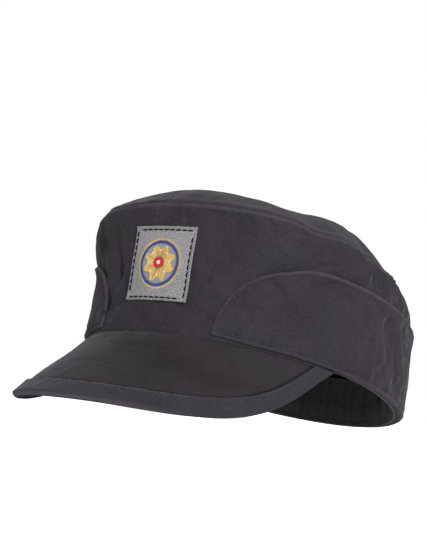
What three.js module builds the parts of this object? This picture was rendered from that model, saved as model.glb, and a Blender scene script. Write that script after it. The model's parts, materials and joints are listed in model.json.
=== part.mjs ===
// A soft peaked field cap of dark cotton twill, with a stiff peak and a neck curtain folded up
// round its sides and back. Millimetres, +Z up. The cap faces -Y and the wearer's left is +X.
// It is first built on its own rim plane, then pitched back until it rests as it would on a table.
import * as THREE from 'three';
import { mergeVertices } from 'three/addons/utils/BufferGeometryUtils.js';

// Driving dimensions
const RIM_WIDTH = 160.6;        // lower edge of the crown, side to side, over the cloth
const RIM_LENGTH = 209.2;       // lower edge of the crown, front to back, over the cloth
const CROWN_HEIGHT = 64.8;      // rim to the seam of the top panel
const DOME_RISE = 16.6;         // middle of the top panel above its seam
const CLOTH = 1.5;              // a crown wall of cotton on its interlining
const GAP = 0.3;                // clearance between neighbouring pieces

const CURTAIN_HEIGHT = 46.6;    // folded-up neck curtain, fold to top edge
const CURTAIN_CLOTH = 1.8;      // the curtain is two layers of cloth
const CURTAIN_EASE = 0.6;       // the curtain lies loosely on the crown
const CURTAIN_START = 22;       // degrees from the front middle to each end of the curtain
const CURTAIN_SWEEP = 38;       // degrees over which each rounded end climbs to full height
const CURTAIN_END = 8.0;        // straight height of each end before it rounds over

const PEAK_REACH = 73.2;        // front middle of the peak, along its own surface
const PEAK_ANGLE = 65.5;        // degrees from the front middle to each corner of the peak
const PEAK_DROOP = 40.1;        // degrees that the peak slopes down at the front middle
const PEAK_PLATE = 2.0;         // stiffener with its cloth cover
const PEAK_CURL = 10.7;         // degrees that the peak bends down between its seam and its edge
const BINDING_WIDTH = 11.5;     // strip of cloth folded over the outer edge of the peak
const BINDING_CLOTH = 0.8;

const BAND_HEIGHT = 30.0;       // sweatband inside the rim
const BAND_CLOTH = 1.2;
const BAND_STAND = 2.8;         // the band stands this far off the crown, clear of its folds
const BAND_LEAN = 10.0;         // height over which it leans away from the rim's seam

const BADGE_WIDTH = 38.1;       // sewn-on cloth patch at the front middle
const BADGE_HEIGHT = 38.6;
const BADGE_BASE = 16.6;        // rim to the patch's lower edge
const BADGE_CLOTH = 1.2;

// Mesh density: columns round the head, and rows up each piece
const COLUMNS = 80;
const WALL_ROWS = 11;
const DOME_RINGS = 6;
const CURTAIN_ROWS = 7;
const PEAK_COLUMNS = 40;
const PEAK_ROWS = 5;
const BADGE_CELLS = 6;

// Level sections of the crown. up and lean are shares of CROWN_HEIGHT, wide is a share of half
// RIM_WIDTH, front and back of half RIM_LENGTH. taper widens the front half and narrows the back.
const SECTIONS = [
  { up: 0.000, wide: 1.000, front: 1.019, back: 0.981, taper: 0.18, lean: 0.000 },
  { up: 0.295, wide: 1.004, front: 1.001, back: 0.977, taper: 0.20, lean: 0.001 },
  { up: 0.569, wide: 0.994, front: 1.019, back: 0.948, taper: 0.21, lean: 0.009 },
  { up: 0.789, wide: 1.044, front: 1.028, back: 0.889, taper: 0.28, lean: 0.000 },
  { up: 0.894, wide: 1.016, front: 1.045, back: 0.790, taper: 0.38, lean: 0.022 },
  { up: 1.000, wide: 0.908, front: 1.078, back: 0.641, taper: 0.50, lean: 0.053 },
];
const BACK_ROUND = 0.6;         // share of the taper that fades out again at the back middle

// Soft folds pressed into the crown, each a furrow from one point to another. turn is degrees from
// the front middle towards the wearer's left, up, wide and deep are shares of CROWN_HEIGHT, and a
// negative depth is a ridge.
const FOLDS = [
  { turn: 47, up: 0.99, endTurn: 48, endUp: 0.66, wide: 0.15, deep: 0.056 },    // left shoulder dent
  { turn: 27, up: 0.99, endTurn: 30, endUp: 0.80, wide: 0.22, deep: -0.034 },   // swell before it
  { turn: 4, up: 1.00, endTurn: 8, endUp: 0.96, wide: 0.17, deep: 0.032 },      // front seam dip
  { turn: 37, up: 0.55, endTurn: 47, endUp: 0.28, wide: 0.10, deep: 0.026 },    // left temple fold
  { turn: 52, up: 0.53, endTurn: 56, endUp: 0.65, wide: 0.08, deep: 0.024 },
  { turn: 59, up: 0.54, endTurn: 66, endUp: 0.30, wide: 0.09, deep: 0.022 },
  { turn: 69, up: 0.98, endTurn: 71, endUp: 0.78, wide: 0.08, deep: 0.026 },
  { turn: 86, up: 0.52, endTurn: 100, endUp: 0.10, wide: 0.10, deep: 0.028 },   // left rear crease
  { turn: -21, up: 0.80, endTurn: -20, endUp: 0.45, wide: 0.09, deep: 0.026 },  // right front crease
  { turn: -33, up: 0.94, endTurn: -31, endUp: 0.76, wide: 0.10, deep: 0.014 },
  { turn: -58, up: 0.98, endTurn: -52, endUp: 0.62, wide: 0.16, deep: 0.048 },  // right shoulder dent
  { turn: -75, up: 0.50, endTurn: -92, endUp: 0.20, wide: 0.12, deep: 0.026 },
  { turn: 128, up: 0.95, endTurn: 140, endUp: 0.45, wide: 0.15, deep: 0.040 },  // back folds
  { turn: -134, up: 0.92, endTurn: -146, endUp: 0.50, wide: 0.14, deep: 0.034 },
  { turn: 178, up: 0.90, endTurn: 172, endUp: 0.40, wide: 0.13, deep: 0.030 },
];

// Hollows and swells of the top panel, placed by turn and by out, the share of the way from its
// middle to its seam. wide is a share of half RIM_WIDTH and deep of DOME_RISE.
const TOP_HOLLOWS = [
  { turn: 41, out: 0.84, wide: 0.17, deep: 0.26 },     // dip behind the left shoulder
  { turn: 2, out: 0.70, wide: 0.30, deep: -0.14 },     // swell behind the front seam
  { turn: 70, out: 0.74, wide: 0.28, deep: -0.17 },    // swell over the left side
  { turn: -60, out: 0.80, wide: 0.22, deep: 0.20 },
  { turn: 170, out: 0.62, wide: 0.30, deep: 0.16 },
  { turn: 120, out: 0.70, wide: 0.24, deep: 0.14 },
];

const CLOTH_COLOUR = 0x423f45;
const BINDING_COLOUR = 0x3f3d43;
const BAND_COLOUR = 0x252427;
const BADGE_COLOUR = 0x7d7f82;

const halfWidth = RIM_WIDTH / 2;
const halfLength = RIM_LENGTH / 2;
const radians = THREE.MathUtils.degToRad;

// Slope of one column of the section table at one row
function sectionSlope(name, row) {
  const before = SECTIONS[Math.max(row - 1, 0)];
  const after = SECTIONS[Math.min(row + 1, SECTIONS.length - 1)];
  return (after[name] - before[name]) / (after.up - before.up);
}

// One column of the section table at a height, through a smooth curve
function sectionValue(name, up) {
  const last = SECTIONS.length - 2;
  let row = 0;
  while (row < last && up > SECTIONS[row + 1].up) row += 1;
  const low = SECTIONS[row];
  const high = SECTIONS[row + 1];
  const span = high.up - low.up;
  const t = (up - low.up) / span;
  const rise = sectionSlope(name, row) * span;
  const fall = sectionSlope(name, row + 1) * span;
  const start = (2 * t ** 3 - 3 * t ** 2 + 1) * low[name] + (t ** 3 - 2 * t ** 2 + t) * rise;
  return start + (3 * t ** 2 - 2 * t ** 3) * high[name] + (t ** 3 - t ** 2) * fall;
}

// Smooth outer face of the crown at a turn in radians and a height share, before its folds
function crownForm(turn, up) {
  const forward = Math.cos(turn);
  const reach = sectionValue(forward > 0 ? 'front' : 'back', up) * halfLength;
  const fade = forward > 0 ? 1 : 1 + BACK_ROUND * forward;
  const taper = sectionValue('taper', up) * forward * fade;
  const across = sectionValue('wide', up) * halfWidth * (1 + taper);
  const lift = CROWN_HEIGHT * (up + sectionValue('lean', up) * forward);
  return new THREE.Vector3(across * Math.sin(turn), -reach * forward, lift);
}

// Unit normal of any surface given as a function of two parameters
function normalOf(surface, a, b) {
  const step = 1e-3;
  const alongA = surface(a + step, b).sub(surface(a - step, b));
  const alongB = surface(a, b + step).sub(surface(a, b - step));
  return alongA.cross(alongB).normalize();
}

// How far the folds press the crown in at a point
function foldDepth(turn, up) {
  const meanRadius = (halfWidth + halfLength) / 2;
  let depth = 0;
  for (const fold of FOLDS) {
    const start = new THREE.Vector2(radians(fold.turn) * meanRadius, fold.up * CROWN_HEIGHT);
    const end = new THREE.Vector2(radians(fold.endTurn) * meanRadius, fold.endUp * CROWN_HEIGHT);
    const past = turn - radians(fold.turn);
    const wrapped = Math.atan2(Math.sin(past), Math.cos(past));
    const point = new THREE.Vector2(start.x + wrapped * meanRadius, up * CROWN_HEIGHT);
    const along = end.clone().sub(start);
    const share = THREE.MathUtils.clamp(point.clone().sub(start).dot(along) / along.lengthSq(), 0, 1);
    const away = point.distanceTo(start.addScaledVector(along, share)) / (fold.wide * CROWN_HEIGHT);
    depth += fold.deep * CROWN_HEIGHT * Math.exp(-(away ** 2));
  }
  return depth;
}

// The rim stays round while the folds above it fade in over this share of the height
const RIM_FADE = 0.16;

// Folded face of the crown, pushed out along its normal by a clearance
function crownFace(turn, up, out = 0) {
  const fade = THREE.MathUtils.smoothstep(up, 0, RIM_FADE);
  const push = out - foldDepth(turn, up) * fade;
  return crownForm(turn, up).addScaledVector(normalOf(crownForm, turn, up), push);
}

// Closed solid between two grids of points, outer and inner. Each grid is a list of columns of
// points. A looped solid joins its last column to its first, an open one gets end faces.
function shell(outer, inner, looped) {
  const columns = outer.length;
  const rows = outer[0].length;
  const positions = [];
  for (const grid of [outer, inner]) {
    for (const column of grid) {
      for (const point of column) positions.push(point.x, point.y, point.z);
    }
  }
  const faces = [];
  const at = (side, column, row) => side * columns * rows + (column % columns) * rows + row;
  const quad = (a, b, c, d) => faces.push(a, b, c, a, c, d);
  const spans = looped ? columns : columns - 1;
  for (let c = 0; c < spans; c += 1) {
    for (let r = 0; r < rows - 1; r += 1) {
      quad(at(0, c, r), at(0, c + 1, r), at(0, c + 1, r + 1), at(0, c, r + 1));
      quad(at(1, c, r), at(1, c, r + 1), at(1, c + 1, r + 1), at(1, c + 1, r));
    }
    quad(at(0, c, 0), at(1, c, 0), at(1, c + 1, 0), at(0, c + 1, 0));
    const top = rows - 1;
    quad(at(0, c, top), at(0, c + 1, top), at(1, c + 1, top), at(1, c, top));
  }
  if (!looped) {
    const end = columns - 1;
    for (let r = 0; r < rows - 1; r += 1) {
      quad(at(0, 0, r), at(0, 0, r + 1), at(1, 0, r + 1), at(1, 0, r));
      quad(at(0, end, r), at(1, end, r), at(1, end, r + 1), at(0, end, r + 1));
    }
  }
  const geometry = new THREE.BufferGeometry();
  geometry.setAttribute('position', new THREE.Float32BufferAttribute(positions, 3));
  geometry.setIndex(faces);
  return geometry;
}

// Points of a surface function over a list of columns and a list of rows
function grid(columns, rows, surface) {
  return columns.map((column) => rows.map((row) => surface(column, row)));
}

// Evenly spaced numbers from start to end, both included
function steps(start, end, count) {
  return Array.from({ length: count + 1 }, (_, i) => start + ((end - start) * i) / count);
}

const roundTurns = steps(0, 2 * Math.PI, COLUMNS).slice(0, -1);

// The top panel swells up from its seam with this power of the way out, flat in the middle
const DOME_POWER = 5.6;
const HOLLOW_FADE = 6;          // the hollows fade out over the last sixth of the way to the seam

// Outer face of the top panel at a turn and a share of the way from its middle to its seam
function domeForm(turn, out) {
  const seam = crownForm(turn, 1);
  const pressed = crownFace(turn, 1).sub(seam);
  const middle = (halfLength * (sectionValue('back', 1) - sectionValue('front', 1))) / 2;
  const centre = new THREE.Vector3(0, middle, CROWN_HEIGHT);
  const point = centre.clone().lerp(seam, out).addScaledVector(pressed, out ** DOME_POWER);
  point.z += DOME_RISE * (1 - out ** DOME_POWER);
  for (const hollow of TOP_HOLLOWS) {
    const spot = centre.clone().lerp(crownForm(radians(hollow.turn), 1), hollow.out);
    const away = Math.hypot(point.x - spot.x, point.y - spot.y) / (hollow.wide * halfWidth);
    const fade = Math.min(1, (1 - out) * HOLLOW_FADE);
    point.z -= hollow.deep * DOME_RISE * Math.exp(-(away ** 2)) * fade;
  }
  return point;
}

// Outward direction halfway between the wall and the top panel where they are sewn together
function seamNormal(turn) {
  const wall = normalOf(crownFace, turn, 1);
  const panel = normalOf(domeForm, turn, 1).negate();
  return wall.add(panel).normalize();
}

// The wall and the top panel meet in two parallel edges, square to the seam
function crownWall() {
  const heights = steps(GAP / CROWN_HEIGHT, 1, WALL_ROWS);
  const outer = grid(roundTurns, heights, (turn, up) => crownFace(turn, up));
  const inner = grid(roundTurns, heights, (turn, up) => {
    if (up < 1) return crownFace(turn, up, -CLOTH);
    return crownFace(turn, 1).addScaledVector(seamNormal(turn), -CLOTH);
  });
  return shell(outer, inner, true);
}

// Ring by ring from a small flat middle out to the seam, closed by one middle point
function crownTop() {
  const seamInset = GAP / halfWidth;
  const rings = steps(0, 1, DOME_RINGS).slice(1).map((t) => (1 - seamInset) * t ** 0.8);
  const edge = rings[rings.length - 1];
  const down = (turn, out) => {
    const outward = out < edge ? normalOf(domeForm, turn, out).negate() : seamNormal(turn);
    return domeForm(turn, out).addScaledVector(outward, -CLOTH);
  };
  const positions = [];
  const faces = [];
  for (const face of [domeForm, down]) {
    for (const turn of roundTurns) {
      for (const out of rings) {
        const point = face(turn, out);
        positions.push(point.x, point.y, point.z);
      }
    }
  }
  const count = rings.length;
  const at = (side, column, ring) => (side * COLUMNS + (column % COLUMNS)) * count + ring;
  const middleTop = positions.length / 3;
  const crest = domeForm(0, 0);
  positions.push(crest.x, crest.y, crest.z);
  positions.push(crest.x, crest.y, crest.z - CLOTH);
  for (let c = 0; c < COLUMNS; c += 1) {
    faces.push(middleTop, at(0, c, 0), at(0, c + 1, 0));
    faces.push(middleTop + 1, at(1, c + 1, 0), at(1, c, 0));
    for (let r = 0; r < count - 1; r += 1) {
      faces.push(at(0, c, r), at(0, c, r + 1), at(0, c + 1, r + 1));
      faces.push(at(0, c, r), at(0, c + 1, r + 1), at(0, c + 1, r));
      faces.push(at(1, c, r), at(1, c + 1, r + 1), at(1, c, r + 1));
      faces.push(at(1, c, r), at(1, c + 1, r), at(1, c + 1, r + 1));
    }
    const last = count - 1;
    faces.push(at(0, c, last), at(1, c, last), at(1, c + 1, last));
    faces.push(at(0, c, last), at(1, c + 1, last), at(0, c + 1, last));
  }
  const geometry = new THREE.BufferGeometry();
  geometry.setAttribute('position', new THREE.Float32BufferAttribute(positions, 3));
  geometry.setIndex(faces);
  return geometry;
}

// Height of the curtain's top edge at a turn, each end a quarter ellipse on a short upright
function curtainEdge(turn) {
  const fromFront = Math.abs(Math.atan2(Math.sin(turn), Math.cos(turn)));
  const climb = (THREE.MathUtils.radToDeg(fromFront) - CURTAIN_START) / CURTAIN_SWEEP;
  const left = 1 - THREE.MathUtils.clamp(climb, 0, 1);
  return CURTAIN_END + (CURTAIN_HEIGHT - CURTAIN_END) * Math.sqrt(1 - left ** 2);
}

// The curtain's columns stand over the crown's, apart from its two ends
function curtain() {
  const start = radians(CURTAIN_START);
  const end = 2 * Math.PI - start;
  const nearest = Math.PI / COLUMNS;
  const between = roundTurns.filter((turn) => turn > start + nearest && turn < end - nearest);
  const turns = [start, ...between, end];
  const rows = steps(0, 1, CURTAIN_ROWS);
  const face = (out) => (turn, share) => {
    const height = GAP + (curtainEdge(turn) - GAP) * share;
    return crownFace(turn, height / CROWN_HEIGHT, out);
  };
  const outside = face(CURTAIN_EASE + CURTAIN_CLOTH);
  return shell(grid(turns, rows, outside), grid(turns, rows, face(CURTAIN_EASE)), false);
}

// The peak's reach falls off to its corners by these powers of the share of PEAK_ANGLE
const PEAK_SHAPE = 1.81;
const PEAK_ROUND = 1.26;
const PEAK_FULL = 0.13;         // added reach towards the corners
const PEAK_FAN = 0.905;         // how far the peak's lines fan out, per radian round the rim
const PEAK_SIDE_DROOP = 103;    // degrees of added droop from the front towards the sides
const PEAK_STOP = 0.975;        // share of PEAK_ANGLE where the plate has run out into the seam

function peakReach(share) {
  const fall = (1 - Math.abs(share) ** PEAK_SHAPE) ** PEAK_ROUND;
  return PEAK_REACH * fall * (1 + PEAK_FULL * share ** 2);
}

// A point of the peak's upper face. share runs from corner to corner, run is millimetres out
// from the seam, on an arc that bends down by PEAK_CURL over the peak's reach.
function peakFace(share, run) {
  const turn = share * radians(PEAK_ANGLE);
  const droop = radians(PEAK_DROOP + PEAK_SIDE_DROOP * (1 - Math.cos(turn)));
  const curl = radians(PEAK_CURL);
  const reach = peakReach(share);
  const start = droop - curl / 2;
  const end = start + (curl * run) / reach;
  const forward = (reach * (Math.sin(end) - Math.sin(start))) / curl;
  const fall = (reach * (Math.cos(start) - Math.cos(end))) / curl;
  const heading = PEAK_FAN * turn;
  const root = crownForm(turn, 0);
  return root.add(new THREE.Vector3(forward * Math.sin(heading), -forward * Math.cos(heading), -fall));
}

function peakPoint(share, run, out) {
  return peakFace(share, run).addScaledVector(normalOf(peakFace, share, run).negate(), out);
}

// Columns from the left corner to the right one, closer together at the corners
const peakShares = steps(1, -1, PEAK_COLUMNS).map((t) => PEAK_STOP * Math.sin((t * Math.PI) / 2));

function peak() {
  const rows = steps(0, 1, PEAK_ROWS);
  const inset = GAP + BINDING_CLOTH;
  const face = (out) => (share, t) => peakPoint(share, (peakReach(share) - inset) * t, out);
  return shell(grid(peakShares, rows, face(0)), grid(peakShares, rows, face(-PEAK_PLATE)), false);
}

// The binding is a U of cloth: its outer face runs down the top leg, round the edge and back
// under the plate, and its inner face follows the plate at the clearance.
function peakBinding() {
  const middle = -PEAK_PLATE / 2;
  const path = (share, lift, rows) => {
    const reach = peakReach(share);
    const tip = reach - GAP - BINDING_CLOTH;
    const legStart = Math.max(reach - BINDING_WIDTH, 2 * GAP);
    const half = PEAK_PLATE / 2 + lift;
    const legs = steps(0, 1, 2).map((t) => legStart + (tip - legStart) * t);
    const nose = steps(0, Math.PI, rows).slice(1, -1);
    const top = legs.map((run) => peakPoint(share, run, middle + half));
    const round = nose.map((angle) => {
      const run = tip + lift * Math.sin(angle);
      return peakPoint(share, run, middle + half * Math.cos(angle));
    });
    const under = legs.reverse().map((run) => peakPoint(share, run, middle - half));
    return [...top, ...round, ...under];
  };
  const outer = peakShares.map((share) => path(share, GAP + BINDING_CLOTH, 4));
  const inner = peakShares.map((share) => path(share, GAP, 4));
  return shell(outer, inner, false);
}

function sweatband() {
  const heights = [GAP, BAND_LEAN, (BAND_LEAN + BAND_HEIGHT) / 2, BAND_HEIGHT];
  const face = (cloth) => (turn, height) => {
    const up = height / CROWN_HEIGHT;
    const stand = BAND_STAND * Math.min(1, height / BAND_LEAN);
    const inward = normalOf(crownForm, turn, up).negate();
    return crownForm(turn, up).addScaledVector(inward, CLOTH + GAP + stand + cloth);
  };
  return shell(grid(roundTurns, heights, face(0)), grid(roundTurns, heights, face(BAND_CLOTH)), true);
}

// The turn at which the crown's face reaches a given distance across from the middle
function turnAcross(across, up) {
  let turn = 0;
  for (let pass = 0; pass < 8; pass += 1) {
    const spread = 1 + sectionValue('taper', up) * Math.cos(turn);
    turn = Math.asin(across / (sectionValue('wide', up) * halfWidth * spread));
  }
  return turn;
}

function badge() {
  const across = steps(-BADGE_WIDTH / 2, BADGE_WIDTH / 2, BADGE_CELLS);
  const heights = steps(BADGE_BASE, BADGE_BASE + BADGE_HEIGHT, BADGE_CELLS);
  const face = (out) => (x, height) => {
    const up = height / CROWN_HEIGHT;
    return crownFace(turnAcross(x, up), up, out);
  };
  return shell(grid(across, heights, face(GAP + BADGE_CLOTH)), grid(across, heights, face(GAP)), false);
}

function cloth(color, roughness) {
  return new THREE.MeshStandardMaterial({ color, roughness, metalness: 0 });
}

function piece(name, geometry, material) {
  const mesh = new THREE.Mesh(mergeVertices(geometry), material);
  mesh.name = name;
  return mesh;
}

const cap = new THREE.Group();
cap.add(piece('crown_wall', crownWall(), cloth(CLOTH_COLOUR, 0.92)));
cap.add(piece('crown_top', crownTop(), cloth(CLOTH_COLOUR, 0.92)));
cap.add(piece('curtain', curtain(), cloth(CLOTH_COLOUR, 0.92)));
cap.add(piece('peak', peak(), cloth(CLOTH_COLOUR, 0.92)));
cap.add(piece('peak_binding', peakBinding(), cloth(BINDING_COLOUR, 0.88)));
cap.add(piece('sweatband', sweatband(), cloth(BAND_COLOUR, 0.95)));
cap.add(piece('badge', badge(), cloth(BADGE_COLOUR, 0.8)));

// Lowest point of the front or back half of the cap once it is pitched about X
function lowest(pitch, front) {
  let low = Infinity;
  const point = new THREE.Vector3();
  const axis = new THREE.Vector3(1, 0, 0);
  cap.traverse((mesh) => {
    if (!mesh.isMesh) return;
    const place = mesh.geometry.attributes.position;
    for (let i = 0; i < place.count; i += 1) {
      point.fromBufferAttribute(place, i);
      if (point.y < 0 === front) low = Math.min(low, point.applyAxisAngle(axis, pitch).z);
    }
  });
  return low;
}

// The cap rests on the edge of its peak and the back of its rim: find the pitch where both touch
let level = 0;
let steep = -radians(40);
for (let pass = 0; pass < 40; pass += 1) {
  const pitch = (level + steep) / 2;
  if (lowest(pitch, true) < lowest(pitch, false)) level = pitch;
  else steep = pitch;
}
cap.rotation.x = (level + steep) / 2;
cap.updateMatrixWorld(true);

// The origin lies under the middle of the resting cap
const box = new THREE.Box3().setFromObject(cap, true);
const group = new THREE.Group();
group.add(cap);
group.position.set(-(box.min.x + box.max.x) / 2, -(box.min.y + box.max.y) / 2, -box.min.z);

export default group;
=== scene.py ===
# A soft peaked field cap of dark cotton twill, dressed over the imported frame. Metres, +Z up.
import json
import math
import bpy
import numpy as np
from mathutils import Matrix, Quaternion, Vector


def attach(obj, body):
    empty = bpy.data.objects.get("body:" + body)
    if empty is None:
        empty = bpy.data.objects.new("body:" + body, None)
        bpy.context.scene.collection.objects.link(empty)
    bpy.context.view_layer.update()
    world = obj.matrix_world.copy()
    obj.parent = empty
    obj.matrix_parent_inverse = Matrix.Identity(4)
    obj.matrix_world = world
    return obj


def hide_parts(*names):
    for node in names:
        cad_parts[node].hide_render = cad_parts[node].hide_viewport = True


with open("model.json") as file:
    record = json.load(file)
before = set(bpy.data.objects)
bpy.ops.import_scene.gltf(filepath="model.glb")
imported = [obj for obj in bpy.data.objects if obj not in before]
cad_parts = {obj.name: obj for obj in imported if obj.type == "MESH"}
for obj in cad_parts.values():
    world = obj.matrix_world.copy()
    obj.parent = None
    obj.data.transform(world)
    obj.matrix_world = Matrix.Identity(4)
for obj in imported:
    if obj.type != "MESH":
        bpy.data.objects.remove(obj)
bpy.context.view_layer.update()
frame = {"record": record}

# The crown's side wall
# One band of cotton twill on a light interlining, cut in two halves and sewn to the peak, the
# sweatband and the curtain along the rim, and to the top panel along its upper seam.
RIM_WIDTH = 0.1606
RIM_LENGTH = 0.2092
CROWN_HEIGHT = 0.0648
CLOTH = 0.0014
COTTON = (0.0325, 0.0272, 0.0335, 1.0)
HALF_WIDTH = RIM_WIDTH / 2
HALF_LENGTH = RIM_LENGTH / 2
MEAN_RADIUS = (HALF_WIDTH + HALF_LENGTH) / 2
WALL_COLUMNS = 440
WALL_ROWS = 84
# How far the wall reaches down behind the root of the peak, where the two are sewn together
ROOT_TUCK = 0.0014
# The stitch row that joins wall, sweatband and curtain lies this far above the rim
RIM_STITCH = 0.0032

# The head opening's mount gives the middle of the rim and the way that the opening faces
opening = frame["record"]["mounts"][0]
rim_middle = Vector(opening["pos_m"])
opening_way = Vector(opening["axis"])
pitch = math.atan2(opening_way.y, -opening_way.z)
cap_place = Matrix.Translation(rim_middle) @ Matrix.Rotation(pitch, 4, "X")

# Level sections of the crown: height and lean as shares of its height, half width, front and
# back as shares of half the rim, and taper, which widens the front and narrows the back
SECTION_COLUMNS = ("up", "wide", "front", "back", "taper", "lean")
SECTIONS = np.array([
    (0.000, 1.000, 1.019, 0.981, 0.18, 0.000),
    (0.295, 1.004, 1.001, 0.977, 0.20, 0.001),
    (0.569, 0.994, 1.019, 0.948, 0.21, 0.009),
    (0.789, 1.044, 1.028, 0.889, 0.28, 0.000),
    (0.894, 1.016, 1.045, 0.790, 0.38, 0.022),
    (1.000, 0.908, 1.078, 0.641, 0.50, 0.053),
])
BACK_ROUND = 0.6
# Sharp creases are this much deeper than their table says, as worn cloth sets them
SHARPEN = 1.6
CREASE_TIP = 0.02

# Soft folds: turn in degrees and height from one point to another, width and depth, the last
# four as shares of the crown's height. A negative depth is a ridge.
FOLDS = (
    (47, 0.99, 48, 0.66, 0.15, 0.056),
    (27, 0.99, 30, 0.80, 0.22, -0.034),
    (4, 1.00, 8, 0.96, 0.17, 0.032),
    (37, 0.55, 47, 0.28, 0.10, 0.026),
    (52, 0.53, 56, 0.65, 0.08, 0.024),
    (59, 0.54, 66, 0.30, 0.09, 0.022),
    (69, 0.98, 71, 0.78, 0.08, 0.026),
    (86, 0.52, 100, 0.10, 0.10, 0.028),
    (-21, 0.80, -20, 0.45, 0.09, 0.026),
    (-33, 0.94, -31, 0.76, 0.10, 0.014),
    (-58, 0.98, -52, 0.62, 0.16, 0.014),
    (-50, 0.70, -58, 0.44, 0.20, -0.036),
    (-75, 0.50, -92, 0.20, 0.12, 0.026),
    (128, 0.95, 140, 0.45, 0.15, 0.040),
    (-134, 0.92, -146, 0.50, 0.14, 0.034),
    (178, 0.90, 172, 0.40, 0.13, 0.030),
)
RIM_FADE = 0.16


def section(name, up):
    """One column of the section table at heights up, through a smooth curve."""
    knots = SECTIONS[:, 0]
    values = SECTIONS[:, SECTION_COLUMNS.index(name)]
    first = np.maximum(np.arange(len(knots)) - 1, 0)
    after = np.minimum(np.arange(len(knots)) + 1, len(knots) - 1)
    slopes = (values[after] - values[first]) / (knots[after] - knots[first])
    low = np.clip(np.searchsorted(knots, up, side="left") - 1, 0, len(knots) - 2)
    span = knots[low + 1] - knots[low]
    t = (up - knots[low]) / span
    start = (2 * t**3 - 3 * t**2 + 1) * values[low] + (t**3 - 2 * t**2 + t) * slopes[low] * span
    return start + (3 * t**2 - 2 * t**3) * values[low + 1] + (t**3 - t**2) * slopes[low + 1] * span


def crown_form(turn, up):
    """Smooth outer face of the crown, turn in radians from the front towards the wearer's left."""
    forward = np.cos(turn)
    reach = np.where(forward > 0, section("front", up), section("back", up)) * HALF_LENGTH
    fade = np.where(forward > 0, 1.0, 1.0 + BACK_ROUND * forward)
    across = section("wide", up) * HALF_WIDTH * (1 + section("taper", up) * forward * fade)
    height = CROWN_HEIGHT * (up + section("lean", up) * forward)
    return np.stack([across * np.sin(turn), -reach * forward, height], axis=-1)


def normal_of(surface, a, b):
    """Unit normals of a surface given as a function of two arrays."""
    step = 1e-3
    along_a = surface(a + step, b) - surface(a - step, b)
    along_b = surface(a, b + step) - surface(a, b - step)
    normal = np.cross(along_a, along_b)
    return normal / np.linalg.norm(normal, axis=-1, keepdims=True)


def wrapped(turn):
    """A turn brought between minus and plus half a circle."""
    return np.arctan2(np.sin(turn), np.cos(turn))


def bell(away, wide):
    """A soft bump of height 1 across a line, by the distance from it."""
    return np.exp(-((away / wide) ** 2))


def furrow(row, turn, up, sharp):
    """Depth of one row of a fold table at a point, soft or sharp across."""
    turn_a, up_a, turn_b, up_b, wide, deep = row
    round_share = MEAN_RADIUS / CROWN_HEIGHT
    x = wrapped(turn - math.radians(turn_a)) * round_share
    y = up - up_a
    run_x = math.radians(turn_b - turn_a) * round_share
    run_y = up_b - up_a
    share = np.clip((x * run_x + y * run_y) / (run_x**2 + run_y**2), 0, 1)
    away = np.hypot(x - share * run_x, y - share * run_y) / wide
    if not sharp:
        return deep * CROWN_HEIGHT * np.exp(-(away**2))
    ends = np.sin(np.pi * np.clip(share, CREASE_TIP, 1 - CREASE_TIP)) ** 0.5
    return deep * CROWN_HEIGHT * ends * SHARPEN / (1 + away**2) ** 2


def smooth_step(value, low, high):
    """A smooth rise from 0 at low to 1 at high."""
    t = np.clip((value - low) / (high - low), 0, 1)
    return t * t * (3 - 2 * t)


def fold_depth(turn, up):
    """Depth of all the soft folds, fading towards the rim, where the seam holds the cloth."""
    depth = sum(furrow(row, turn, up, False) for row in FOLDS)
    return depth * smooth_step(up, 0, RIM_FADE)


def crown_face(turn, up, out=0.0):
    """Folded face of the crown, pushed out by a clearance."""
    out = out - fold_depth(turn, up)
    return crown_form(turn, up) + normal_of(crown_form, turn, up) * np.asarray(out)[..., None]


# Fine creases of worn cloth, in the same columns as the folds
CREASES = (
    (-33.5, 0.97, -31, 0.74, 0.022, 0.016),
    (-30.0, 0.90, -29, 0.70, 0.020, 0.010),
    (-22.5, 0.80, -20, 0.46, 0.024, 0.014),
    (-25.0, 0.42, -23, 0.14, 0.030, 0.010),
    (68.5, 0.97, 70.5, 0.76, 0.020, 0.018),
    (71.5, 0.88, 76, 0.72, 0.020, 0.013),
    (66.0, 0.86, 68, 0.70, 0.018, 0.008),
    (40, 0.97, 45, 0.84, 0.030, 0.012),
    (50, 0.95, 54, 0.80, 0.030, 0.012),
    (56, 0.82, 47, 0.68, 0.030, 0.010),
    (10, 0.97, 20, 0.93, 0.035, 0.008),
    (-6, 0.96, -14, 0.90, 0.035, 0.008),
    (30, 0.62, 22, 0.40, 0.040, 0.007),
    (20, 0.18, 29, 0.34, 0.045, 0.012),
    (17, 0.10, 30, 0.20, 0.040, -0.006),
    (-27.5, 0.88, -26, 0.50, 0.022, -0.012),
    (-36, 0.90, -35, 0.66, 0.024, -0.012),
    (-19, 0.60, -24, 0.20, 0.030, 0.010),
    (46, 0.90, 49, 0.66, 0.050, 0.018),
    (53, 0.92, 55, 0.74, 0.040, -0.009),
    (66, 0.94, 68, 0.72, 0.018, -0.014),
    (74, 0.92, 79, 0.74, 0.020, -0.012),
    (82, 0.90, 90, 0.76, 0.024, 0.012),
    (79, 0.95, 85, 0.76, 0.020, -0.018),
    (84, 0.88, 92, 0.74, 0.018, -0.016),
    (88, 0.93, 94, 0.78, 0.030, 0.006),
    (-12, 0.16, -20, 0.30, 0.040, 0.009),
    (96, 0.94, 104, 0.78, 0.030, 0.014),
    (118, 0.96, 124, 0.76, 0.030, 0.014),
    (150, 0.92, 156, 0.78, 0.030, 0.012),
    (-70, 0.94, -76, 0.76, 0.030, 0.014),
    (-98, 0.93, -104, 0.77, 0.030, 0.012),
    (-120, 0.95, -128, 0.78, 0.030, 0.014),
    (-160, 0.92, -158, 0.78, 0.030, 0.012),
)
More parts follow.
